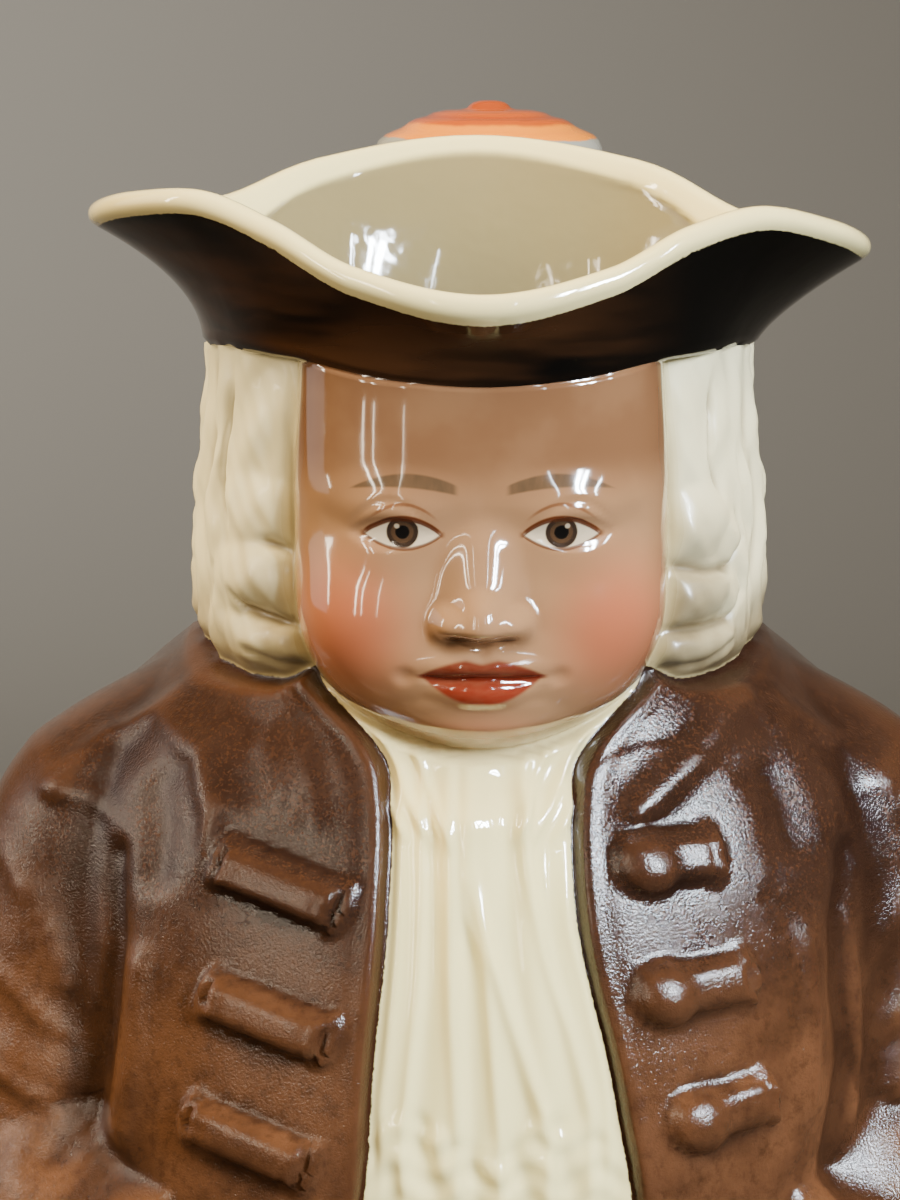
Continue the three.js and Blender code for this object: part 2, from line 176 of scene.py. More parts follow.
def direction_of(section, x, squareness):
    width, front, _ = section
    depth = front * (1 - np.abs(x / width) ** squareness) ** (1 / squareness)
    return np.degrees(np.arctan2(x, depth))


def head_share(z):
    return rise(108, 114, z)


def opening_edge(side, z):
    return side * OPENING(z) + OPENING_SKEW(z)


# ---- Strokes: ridges and grooves laid on the skin ----

SKIN_MM = 0.87  # a degree round the coat, in millimetres


def stroke(angle, z, points, half_width, height, fade=4.0):
    """A ridge, or a groove where height is negative, along (degrees, height) points, fading at its ends."""
    across = angle * SKIN_MM
    path = np.array(points, float) * (SKIN_MM, 1)
    lengths = np.hypot(*np.diff(path, axis=0).T)
    starts = np.append(0, np.cumsum(lengths))
    near = np.full(np.shape(across), 1e9)
    place = np.zeros(np.shape(across))
    for i, length in enumerate(lengths):
        along = (path[i + 1] - path[i]) / length
        dx, dz = across - path[i][0], z - path[i][1]
        run = np.clip(dx * along[0] + dz * along[1], 0, length)
        gap = np.hypot(dx - run * along[0], dz - run * along[1])
        place = np.where(gap < near, starts[i] + run, place)
        near = np.minimum(near, gap)
    ends = rise(0, fade, place) * rise(0, fade, starts[-1] - place)
    return height * ridge(near / half_width) * ends


# ---- Relief of each part of the figure, in millimetres outwards ----

def face_outline(x, z):
    """0 in the middle of the face and 1 on its outline."""
    return np.hypot(x / FACE_HALF, np.maximum(0, CHEEK_LINE - z) / (CHEEK_LINE - CHIN))


def lid_line(u, rise_mid, power=2.0):
    return rise_mid * np.maximum(0, 1 - np.abs(u / EYE_HALF) ** power)


def face_relief(x, z):
    side = np.abs(x)
    eye = side - EYE_X
    up = z - EYE_LINE
    down = np.clip((BROW - 1 - z) / FACE_THIRD, 0, 1)
    under_nose = rise(NOSE_BASE - 1.2, NOSE_BASE + 1.2, z)
    bridge = (0.7 + 4.2 * down ** 1.4) * bump(x / (3.8 + 2.7 * down)) * under_nose * rise(0, 0.3, down)
    tip = 1.2 * bump(x / 3.7, (z - NOSE_BASE - 3) / 3.4)
    wings = 1.3 * bump((side - 3.7) / 2.5, (z - NOSE_BASE - 2) / 2.6)
    nostrils = -0.6 * bump((side - 2.3) / 1.4, (z - NOSE_BASE + 0.3) / 1)
    open_eye = rise(-0.35, 0.35, lid_line(eye, 2.1) - up) * rise(-0.35, 0.35, up + lid_line(eye, 1.7))
    ball = 2.1 * bump(eye / 8.2, up / 7)
    lids = 0.45 * (1 - open_eye) * bump(eye / 8, up / 6.6)
    lid_crease = -0.3 * ridge((up - lid_line(eye, 3.7) - 0.4) / 0.6) * bump(eye / 6)
    seam = MOUTH + 0.3 * np.cos(x * 0.75) * bump(x / 9)
    mouth_seam = -0.7 * ridge((z - seam) / 0.45) * bump(x / 8) ** 0.6
    lips = 1.05 * bump(x / 7.6, (z - MOUTH - 1.5) / 2.1) + 1.25 * bump(x / 6.6, (z - MOUTH + 1.8) / 2.4)
    bow = -0.3 * bump(x / 1.5, (z - MOUTH - 2.8) / 1.6)
    corners = -0.45 * bump((side - 7.8) / 1.6, (z - MOUTH) / 1.6)
    philtrum = -0.3 * ridge(x / 0.9) * bump((z - MOUTH - 3.6) / 2.6)
    chin_fold = -0.5 * bump(x / 8, (z - MOUTH + 5) / 2)
    outline = np.minimum(1, face_outline(x, z))
    return (
        mix(FACE_RISE(z), -0.8, outline ** 4.4)
        + bridge + tip + wings + nostrils
        + 0.7 * bump((side - 9) / 10, (z - BROW) / 4.5)
        - 1.7 * bump(eye / 8.5, up / 7)
        + ball + lids + lid_crease
        + 1.5 * bump((side - 13) / 11, (z - NOSE_BASE - 1) / 12)
        + 1.5 * bump(x / 12, (z - MOUTH) / 8)
        + lips + mouth_seam + bow + corners + philtrum + chin_fold
        + 2.3 * bump(x / 10.5, (z - CHIN - 4) / 5.5)
    )


# Rolls of the wig beside the face: centre in degrees and height, half width, half height and rise.
WIG_ROLLS = [
    (-40, 141, 15, 7, 0.9), (-45, 132, 17, 5, 0.9), (-44, 122.8, 20, 4.6, 1.9), (-44, 115.4, 20, 3.4, 1.5),
    (41, 141, 8, 7, 0.9), (44, 130, 11, 4.8, 1.9), (55, 127.5, 6, 3.6, 1.0), (43, 121.4, 12, 4.4, 2.2),
    (56, 120, 5, 3.4, 1.2), (45, 114.8, 14, 3.6, 1.7),
]
# Creases between them, as strokes.
WIG_CREASES = [
    ([(-31, 127.4), (-38, 127), (-48, 128.4)], 1.2, -0.8),
    ([(-30, 118), (-40, 118.2), (-50, 119.4), (-55, 122)], 1.0, -1.1),
    ([(-32, 113.2), (-42, 113), (-52, 114.6)], 0.9, -0.8),
    ([(-58, 146), (-60, 136), (-58, 128)], 0.9, -0.8),
    ([(-62, 126), (-64, 118), (-60, 112)], 0.9, -0.8),
    ([(37, 125.6), (46, 124.2), (55, 123.6), (59.6, 127), (58, 132)], 1.1, -1.2),
    ([(36, 117.4), (46, 117), (55, 117), (60, 120.4), (60, 124)], 1.1, -1.2),
    ([(36, 112.6), (48, 112.8), (58, 115)], 0.9, -0.7),
    ([(38, 147), (36, 140), (40, 134)], 1.4, -0.5),
    ([(52, 147), (50, 138), (54, 132)], 1.1, -0.8),
    ([(60, 140), (63, 130), (65, 120), (62, 112)], 0.9, -0.8),
]
WIG_BACK_PITCH = 7.2
WIG_BACK_CURL = 18  # degrees across one curl


def wig_relief(angle, z, inward):
    turn = np.abs(angle)
    rolls = 0
    for centre, height, wide, high, proud in WIG_ROLLS:
        roll = proud * bump((angle - centre) / (wide * 1.3), (z - height) / (high * 1.35))
        rolls = soft_max(rolls, roll, 0.25)
    creases = 0
    for points, half_width, height in WIG_CREASES:
        creases = creases + stroke(angle, z, points, half_width, height)
    row = np.floor((136 - z) / WIG_BACK_PITCH)
    across = turn / WIG_BACK_CURL + (row % 2) / 2
    u = across - np.round(across)
    v = (136 - z) / WIG_BACK_PITCH - row - 0.5
    curls = 1.4 * swell(2 * v, 0.8) * (1 - 2.6 * u * u) - 0.15
    strands = 0.42 * np.sin(np.radians(turn * 26) + np.sin(z / 3.1) * 1.6 + 0.05 * z)
    locks = 0.45 * np.cos(np.radians((turn - 63) * 30) + 0.9 * np.sin(z / 3.6)) * rise(54, 62, turn)
    dents = 0.3 * np.sin(angle * 0.36 + 1.3 * np.sin(z / 4.1)) * np.sin(z / 2.2 + 1.1 * np.sin(angle / 9))
    dents = dents + 0.12 * np.sin(angle * 0.9 + z * 0.35) * np.sin(z / 0.95 + angle * 0.22)
    top = rise(133, 139, z)
    side = rolls + creases + locks + dents
    behind = mix(curls + 0.4 * strands, 1.1 * strands, top) + 0.5 * dents
    hem = -1.5 * (1 - rise(-0.4, 3.4, z - WIG_HEM(turn)))
    inner = -0.8 * (1 - rise(-1, 7, inward))
    return mix(side, behind, rise(76, 104, turn)) + hem + inner


# Folds of the neckcloth and its fall: height and x of each ridge, half width and rise.
JABOT_FOLDS = [
    (through((62, -12.2), (70, -11.4), (84, -10.2), (95, -9.8)), 1.3, 1.0),
    (through((58, -9.4), (66, -8.8), (80, -7.4), (92, -7)), 1.1, 0.7),
    (through((56, -2.6), (64, -2.9), (80, -3.5), (99, -3.5)), 1.5, 0.9),
    (through((58, 8.2), (68, 5.4), (76, 2.9), (92, -1.2)), 1.6, 1.0),
    (through((60, 13.2), (70, 11.1), (82, 7.4), (96, 5)), 1.4, 0.9),
    (through((62, 15.4), (76, 12.8), (87, 10.4), (98, 10.4)), 1.2, 0.8),
    (through((56, 2.4), (66, 1.6), (80, 0.2), (88, -2)), 1.2, 0.6),
]


def jabot_relief(x, z):
    across = (x - OPENING_SKEW(z)) / OPENING(z)
    folds = 0
    for path, half_width, proud in JABOT_FOLDS:
        folds = folds + proud * ridge((x - path(z)) / half_width)
    broad = 0.35 * np.cos(math.pi * 5 * across + np.sin(z / 17))
    on_fall = rise(JABOT_HEM + 4, JABOT_HEM + 14, z) * rise(106, 99, z)
    lace_height = 62 - 2 * np.cos(x * 0.35)
    ruffle = 0.45 * np.sin(x * 1.15 + 1.2 * np.sin(z * 0.45)) * rise(lace_height, lace_height - 3, z)
    ruffle = ruffle + 0.16 * np.sin(z * 1.7 + 1.6 * np.sin(x * 0.8)) * rise(lace_height, lace_height - 3, z)
    hem = rise(JABOT_HEM - 1 + 0.8 * np.sin(x * 1.1), JABOT_HEM + 0.5 + 0.8 * np.sin(x * 1.1), z)
    waist = -0.15 * ridge((x - 2) / 0.5)
    for i in range(4):
        waist = waist + 1.3 * bump((x - 3.6) / 2.3, (z - 14 - 8 * i) / 2.3) ** 0.7
    tucks = 0
    for side in (-1, 1):
        for start, lean in ((13, 1.05), (9.5, 0.9), (6.4, 0.7)):
            line = side * (start + (z - 101) * lean * 0.6)
            tucks = tucks + 0.55 * ridge((x - line) / 1.1) * rise(93, 97, z)
    drape = JABOT_RISE(z) * swell(across)
    chin_tuck = -2.4 * bump(x / 16, (z - CHIN + 1) / 6)
    fall = (folds + broad) * on_fall * swell(across, 0.5)
    lace = ruffle * hem * swell(across, 0.3)
    return drape - 0.5 + chin_tuck + fall + lace + 0.9 * (hem - 1) + waist * (1 - hem) + tucks


ARM = np.array([(82, 90), (80, 66), (75, 47), (58, 35), (42, 33), (28, 36), (18, 38)], float)
ARM_HALF_WIDTH = through((0, 19), (1, 20), (2, 19), (3, 16), (3.9, 16.5), (4.2, 9), (6, 8))
ARM_RISE = through((0, 9.4), (1, 11.45), (2, 11.85), (3, 10.7), (3.9, 10.6), (4.2, 6.6), (6, 4.6))


def along_arm(angle, z):
    """The nearest place on the arm's line in points, and the signed distance across it."""
    near = np.full(np.broadcast(angle, z).shape, 1e9)
    place, sign = np.zeros_like(near), np.ones_like(near)
    for i, (start, end) in enumerate(zip(ARM, ARM[1:])):
        leg = end - start
        da, dz = angle - start[0], z - start[1]
        t = np.clip((da * leg[0] + dz * leg[1]) / (leg @ leg), 0, 1)
        gap = np.hypot(da - t * leg[0], dz - t * leg[1])
        closer = gap < near
        place = np.where(closer, i + t, place)
        sign = np.where(closer, np.sign(leg[0] * dz - leg[1] * da), sign)
        near = np.where(closer, gap, near)
    return place, near, sign


def arm_relief(angle, z):
    place, gap, sign = along_arm(np.abs(angle), z)
    sleeve = ARM_RISE(place) * swell(gap / ARM_HALF_WIDTH(place))
    on_hand = rise(4.5, 4.9, place)
    fingers = 0.9 * np.cos(gap * sign * 2 * math.pi / 3.9) * on_hand * rise(5.0, 5.3, place)
    fingers = fingers * swell(gap / 9)
    cuff_edge = 0.7 * ridge((place - 3.85) / 0.09) * swell(gap / 17)
    cuff_edge = cuff_edge - 0.5 * ridge((place - 3.1) / 0.05) * swell(gap / 16)
    creases = 0.5 * np.sin(place * 11 + sign * gap * 0.16) * rise(0.8, 1.4, place) * rise(2.9, 2.3, place)
    return sleeve + (fingers + cuff_edge + creases * 0.6) * swell(gap / ARM_HALF_WIDTH(place), 0.7)


# Ridges and grooves of the coat: points in degrees and height, half width and rise.
COAT_STROKES = [
    ([(-70, 92), (-68.7, 101.7), (-63.3, 106), (-48.7, 102.6), (-42.6, 96.4), (-38.1, 85.3)], 3.2, 1.5),
    ([(-57, 100), (-51, 93), (-49, 84)], 4.2, -0.9),
    ([(-52.8, 108.1), (-43, 102.2), (-38.9, 95.8), (-37, 88)], 3.2, 0.5),
    ([(-41, 106.4), (-34.4, 100.9), (-31.4, 96)], 3.8, 0.9),
    ([(-34.5, 106.9), (-28.9, 100.4), (-25.6, 93.2)], 2.6, 0.6),
    ([(-38, 112), (-32.1, 112.2), (-26, 106), (-21, 98)], 2.2, 0.4),
    ([(-59, 92), (-55, 78), (-55.2, 70), (-56.3, 61.7), (-60, 46)], 2.6, -1.4),
    ([(-50.5, 80), (-49.8, 66), (-51.8, 51.4)], 3.2, 0.9),
    ([(-79, 74), (-70, 70), (-60.5, 63)], 1.2, 0.6),
    ([(-78, 60), (-68, 58), (-60.3, 54.5), (-55.5, 50)], 1.2, 0.6),
    ([(-72, 84), (-66, 77), (-61, 68)], 1.2, 0.6),
    ([(-90, 99), (-76, 98), (-64, 92)], 2.2, 0.5),
    ([(-70, 96), (-64.4, 94.3), (-59, 91.4)], 1.6, 0.6),
    ([(-90, 92), (-78, 88), (-66, 80)], 1.6, 0.5),
    ([(70, 90), (67, 101), (61, 106), (52, 104)], 3.4, 0.9),
    ([(48.6, 103), (50, 96), (49, 88)], 5.5, -1.1),
    ([(57, 110), (46, 107), (37.9, 103.4), (25.5, 98), (20, 92)], 3.2, 1.4),
    ([(60, 92), (54.5, 81), (53.2, 73), (53.7, 63.3), (49.5, 52), (50, 44)], 2.6, -1.4),
    ([(48.5, 84), (47.6, 70), (45.5, 56)], 3, 0.7),
    ([(57.5, 90), (56.4, 78), (56.6, 66), (54, 54)], 0.9, 0.5),
    ([(70, 86), (63, 78), (58, 70)], 1.2, 0.6),
    ([(76, 80), (66, 71), (59, 63)], 1.2, 0.6),
    ([(80, 72), (70, 64), (60, 56)], 1.2, 0.6),
    ([(84, 62), (74, 56), (62, 50)], 1.3, 0.6),
    ([(84, 101), (72, 99), (63, 94)], 2.4, 0.8),
]
# The back seam, and a fold on each side of it.
COAT_STROKES += [([(side * 180, z) for z in (100, 60, 9)], 0.7, -0.9) for side in (1, -1)]
COAT_STROKES += [([(side * 150, 104), (side * 140, 84), (side * 142, 60)], 4, 0.8) for side in (1, -1)]


def coat_relief(angle, x, z, folded):
    turn = np.abs(angle)
    inward = np.where(turn < 90, np.abs(x - OPENING_SKEW(z)) - OPENING(z), 90)
    edge = COAT_THICKNESS * (rise(-0.5, 0.5, inward) - 0.5 * rise(2, 14, inward))
    welt = 0.15 * ridge((inward - 1) / 0.8) - 0.12 * ridge((inward - 2.6) / 0.6)
    pleats = 0.7 * np.cos(np.radians(angle * 9)) * rise(30, 12, z) * rise(70, 95, turn)
    folds = 0
    for points, half_width, height in COAT_STROKES:
        folds = folds + stroke(angle, z, points, half_width, height)
    back_seams = -0.5 * ridge((turn - 150 + 0.25 * (z - 50)) / 0.9) * rise(92, 84, z)
    return edge + welt + pleats + folds * rise(2, 7, inward) * folded + back_seams + arm_relief(angle, z)


# ---- Buttonhole tabs down both fronts, with the buttons on the wearer's left ----

# Each tab: side, height, distance of its middle from the coat's edge, half length and slant.
TABS = [
    (-1, 88.9, 12, 8.6, -0.36), (-1, 73.2, 12.2, 8.6, -0.3), (-1, 57.7, 13.4, 8.6, -0.28),
    (1, 92.1, 10.4, 6.6, 0.08), (1, 77, 11.4, 7.7, 0.1), (1, 61.6, 11.4, 7.2, 0.16),
]


def on_coat(x, z):
    width, front, _ = TORSO(z)
    depth = front * (1 - abs(x / width) ** TORSO_SQUARENESS) ** (1 / TORSO_SQUARENESS)
    return np.array([x, -depth, z], float)


def tab_frame(side, z, offset, slant):
    """Middle of a tab and the directions along and across it."""
    x = opening_edge(side, z) + side * offset
    across = on_coat(x + 3, z) - on_coat(x - 3, z)
    up = on_coat(x, z + 3) - on_coat(x, z - 3)
    across, up = across / np.linalg.norm(across), up / np.linalg.norm(up)
    cos, sin = math.cos(slant), math.sin(slant)
    return on_coat(x, z), cos * across + sin * up, cos * up - sin * across


def bar_with_lips(u, v, half_length):
    """A flat bar between two thin lips that curve round its ends."""
    ends = rise(half_length - 0.6, half_length - 1.5, np.abs(u))
    body = 2.3 * np.maximum(0, 1 - np.abs(v / 2.9) ** 4) ** 0.55 * ends
    body = body - 0.35 * ridge((np.abs(u) - half_length + 2.6) / 0.5) * (body > 0)
    bow = np.abs(u) + 0.06 * v * v
    return np.maximum(body, 1.9 * ridge((bow - half_length - 0.3) / 0.75) * swell(v / 3.7, 0.4))


def bar_with_button(u, v, half_length):
    """A rounded bar with a button on its inner end and a lip round the outer one."""
    end = rise(half_length - 0.4, half_length - 1.6, u)
    body = 2.1 * np.maximum(0, 1 - np.abs(v / 3.3) ** 2.6) ** 0.6 * end
    body = (body + 0.25 * ridge((v - 1.7) / 0.5) * (body > 0)) * (u > 1 - half_length)
    lip = 2.6 * ridge((u + 0.07 * v * v - half_length + 0.2) / 0.8) * swell(v / 4, 0.4)
    button = 3.1 * np.maximum(0, 1 - (np.hypot(u - 3.9 + half_length, v + 0.4) / 4.2) ** 2) ** 0.55
    return soft_max(np.maximum(body, lip), button, 0.8)


def tab_relief(angle, z):
    """How far the tabs stand above the torso, 0 away from them, and how close each place is to one."""
    radius = torso_reach(angle, z)
    points = to_points(angle, radius, z + 0 * radius)
    height = np.zeros(radius.shape)
    nearness = np.zeros(radius.shape)
    for side, level, offset, half_length, slant in TABS:
        middle, along, across = tab_frame(side, level, offset, slant)
        u, v = (points - middle) @ along, (points - middle) @ across
        shape = bar_with_lips(u, v, half_length) if side < 0 else bar_with_button(u, v, half_length)
        near = np.linalg.norm(points - middle, axis=-1) < 14
        height = np.maximum(height, np.where(near, shape, 0))
        edge = np.maximum(np.abs(u) - half_length, np.abs(v) - 2.8)
        nearness = np.maximum(nearness, np.where(near, rise(3.5, 0.5, edge), 0))
    return height, nearness


# ---- The skin ----

def skin(angle, z):
    """Reach of the figure below the hat, and the distances that its paint follows."""
    torso, head = torso_reach(angle, z), head_reach(angle, z)
    x = mix(torso, head, head_share(z)) * np.sin(np.radians(angle))
    turn = np.abs(angle)
    in_front = turn < 75
    inward = np.where(in_front, np.abs(x - OPENING_SKEW(z)) - OPENING(z), 30.0)
    soft = head_share(z)
    beside = rise(-mix(0.45, 1.4, soft), mix(0.45, 2.2, soft), inward)
    outline = face_outline(x, z)
    on_face = np.where(in_front, rise(1.03, 0.985, outline) * (1 - rise(-1.4, 2.2, inward)), 0)
    above_hem = z - WIG_HEM(turn)
    on_wig = rise(-0.8, 0.6, above_hem) * beside
    tabs, tab_near = tab_relief(angle, z)
    coat = coat_relief(angle, x, z, 1 - 0.85 * tab_near) + tabs
    dressed = torso + mix(jabot_relief(x, z), coat, beside)
    wig = head + wig_relief(angle, z, inward)
    reach_out = mix(mix(dressed, wig, on_wig), head + face_relief(x, z), on_face)
    face_gap = (1 - outline) * 18
    paint = {
        "coat": np.minimum(inward, -above_hem),
        "wig": np.minimum(inward, above_hem),
        "face": np.where(in_front, np.minimum(face_gap, -inward), -9.0),
    }
    return reach_out, paint


def rim_reach(angle):
    return RIM_REACH(np.abs(angle)) - RIM_INSET


def rim_height(angle):
    return RIM_HEIGHT(np.abs(angle)) - RIM_DROOP * bump((angle - 84) / 60) + RIM_LEVEL


def brim_line(angle, share):
    """The outer face of the brim from the hat's lower edge, 0, to its rim, 1."""
    foot = head_reach(angle, HAT_LINE) + HAT_OVERHANG + 4 * bump(angle / 62)
    height = mix(HAT_LINE + HAT_EDGE_RISE(np.abs(angle)), rim_height(angle), share)
    late = 1.7 - 0.35 * np.sin(np.radians(angle))
    return mix(foot, rim_reach(angle), share ** late), height


def brim(angle, share, inset=0.0, beyond=0.0):
    near = np.clip(share, 0.01, 0.99)
    (r0, z0), (r1, z1) = brim_line(angle, near - 0.01), brim_line(angle, near + 0.01)
    radius, height = brim_line(angle, share)
    length = np.hypot(r1 - r0, z1 - z0)
    dr, dz = (r1 - r0) / length, (z1 - z0) / length
    return radius - inset * dz + beyond * dr, height + inset * dr + beyond * dz


# Columns of each half of the skin: how many faces lie within the opening, at its edge, over the tabs,
# on the side and behind.
WITHIN, AT_EDGE, OVER_TABS, BESIDE, BEHIND = 52, 4, 36, 38, 18
EDGE_STEP = 0.75


def half_angles(side, layout):
    """Angles of one half's columns for rows of the given layout heights."""
    coat = direction_of(TORSO(layout), opening_edge(side, layout), TORSO_SQUARENESS)
    face = direction_of(HEAD(layout), opening_edge(side, layout), HEAD_SQUARENESS)
    edge = np.abs(mix(coat, face, head_share(layout)))
    past_tabs = np.maximum(edge + 22, 50)
    stops = [0 * edge, edge - EDGE_STEP, edge + EDGE_STEP, past_tabs, 110 + 0 * edge, 180 + 0 * edge]
    counts = [WITHIN, AT_EDGE, OVER_TABS, BESIDE, BEHIND]
    spans = []
    for start, end, count in zip(stops, stops[1:], counts):
        share = np.arange(count) / count
        spans.append(start[:, None] + (end - start)[:, None] * share)
    return side * np.concatenate(spans, 1)


def column_angles(layout):
    """All angles of each row, from behind round the wearer's right side, the front and the left side."""
    right, left = half_angles(-1, layout), half_angles(1, layout)
    behind = np.full((len(layout), 1), -180.0)
    return np.concatenate([behind, right[:, :0:-1], left], 1)


PAINTS = ("coat", "wig", "face", "hat", "inner", "band", "relief")


def blank_paint(shape):
    """Paint of bare glaze: far from every painted field, neither inside the jug nor on the thumb rest."""
    away = {"coat": -9.0, "wig": -9.0, "face": -9.0, "hat": -9.0, "inner": 0.0, "band": 0.0, "relief": 0.0}
    return {name: np.full(shape, value) for name, value in away.items()}


def figure_rows():
    heights = np.concatenate([
        np.linspace(COAT_FOOT, JABOT_HEM, 30, endpoint=False),
        np.linspace(JABOT_HEM, 100, 88, endpoint=False),
        np.linspace(100, HAT_LINE - 0.3, 112, endpoint=False),
        [HAT_LINE - 0.25],
    ])
    angle = column_angles(heights)
    z = heights[:, None] + 0 * angle
    radius, paint = skin(angle, z)
    full = blank_paint(angle.shape)
    full.update(paint)
    lifted = z + HAT_EDGE_RISE(np.abs(angle)) * rise(136, HAT_LINE, z)
    return angle, radius, lifted, full


def ring_rows(places, layout=HAT_LINE):
    """Rows made one by one; each place gives radius, height and paint from the angles."""
    angle = column_angles(np.full(len(places), float(layout)))
    rows = [place(angle[i]) for i, place in enumerate(places)]
    radius = np.array([row[0] + 0 * angle[0] for row in rows])
    height = np.array([row[1] + 0 * angle[0] for row in rows])
    paint = blank_paint(angle.shape)
    for i, row in enumerate(rows):
        for name, value in row[2].items():
            paint[name][i] = value
    return angle, radius, height, paint


WELL_SHOULDER = through((0, 0.66), (50, 0.62), (85, 0.55), (110, 0.64), (140, 0.86), (180, 0.93))
# Width of bare glaze under the rim.
WHITE_RIM = through((0, 0.9), (30, 0.8), (60, 0.25), (100, 0.25), (130, 0.8), (180, 0.9))


def foot_places():
    """From the middle of the underside to the coat: a recess, a flat foot ring and a rounded plinth."""
    def place(inset, height):
        return lambda angle: (reach(PLINTH, angle, TORSO_SQUARENESS) - inset, height, {})

    def scaled(share, height):
        return lambda angle: (share * reach(PLINTH, angle, TORSO_SQUARENESS), height, {})

    shape = [scaled(share, 1.1) for share in (0.3, 0.6, 0.82)]
    shape += [place(6.4, 1.0), place(5.8, 0.4), place(5.4, 0), place(1.6, 0)]
    for turn in np.radians(np.linspace(15, 165, 9)):
        half = PLINTH_TOP / 2
        shape.append(place(1.6 - 1.6 * math.sin(turn), half - half * math.cos(turn)))
    shape += [place(2.2, PLINTH_TOP), place(3.2, PLINTH_TOP - 0.1)]
    return shape


def hat_places():
    """Up the outside of the brim, over its lip and down inside to the floor."""
    half = BRIM_WALL / 2
    places = []
    for share in np.linspace(0, 1, 18, endpoint=False):
        def outer(angle, share=share):
            radius, height = brim(angle, share)
            below = (1 - share) * (rim_height(angle) - HAT_LINE) - WHITE_RIM(np.abs(angle))
            paint = {"hat": below}
            if share == 0:
                paint.update(skin(angle, np.full(angle.shape, float(HAT_LINE)))[1])
                radius = radius - 0.7
                paint["hat"] = np.full(angle.shape, 0.3)
            return radius, height, paint
        places.append(outer)
    for turn in np.linspace(0, math.pi, 11):
        def over(angle, turn=turn):
            radius, height = brim(angle, 1.0, half * (1 - math.cos(turn)), half * math.sin(turn))
            return radius, height, {"hat": -0.2 - turn, "inner": 0.35 * rise(1.6, 3.1, turn)}
        places.append(over)
    for share in np.linspace(0.96, 0.04, 24):
        def inner(angle, share=share):
            radius, height = brim(angle, share, BRIM_WALL)
            below = rise(0.05, -0.05, share - WELL_SHOULDER(np.abs(angle)))
            hollowed = mix(0.2, 0.9, rise(166, 148, np.abs(angle)))
            return radius + hollowed * below, height, {"inner": 0.35 + 0.65 * below}
        places.append(inner)
    for z in (147, 140, 130, 116, 104, 90, 60, 20, 10, 7, FLOOR):
        def wall(angle, z=z):
            squareness = TORSO_SQUARENESS if z < 104 else HEAD_SQUARENESS
            return reach(CAVITY(z), angle, squareness) + 0.9 * rise(100, 140, z), z, {"inner": 1.0}
        places.append(wall)
    for share in (0.7, 0.35):
        def floor(angle, share=share):
            return share * reach(CAVITY(FLOOR), angle, TORSO_SQUARENESS), FLOOR, {"inner": 1.0}
        places.append(floor)
    return places


def to_points(angle, radius, height):
    return np.stack([radius * np.sin(np.radians(angle)), -radius * np.cos(np.radians(angle)), height], -1)


def grid_faces(rows, columns, start):
    """Quads between neighbouring closed rows."""
    row, column = np.meshgrid(np.arange(rows - 1), np.arange(columns), indexing="ij")
    after = (column + 1) % columns
    here, above = row * columns, (row + 1) * columns
    corners = [here + column, here + after, above + after, above + column]
    return start + np.stack(corners, -1).reshape(-1, 4)


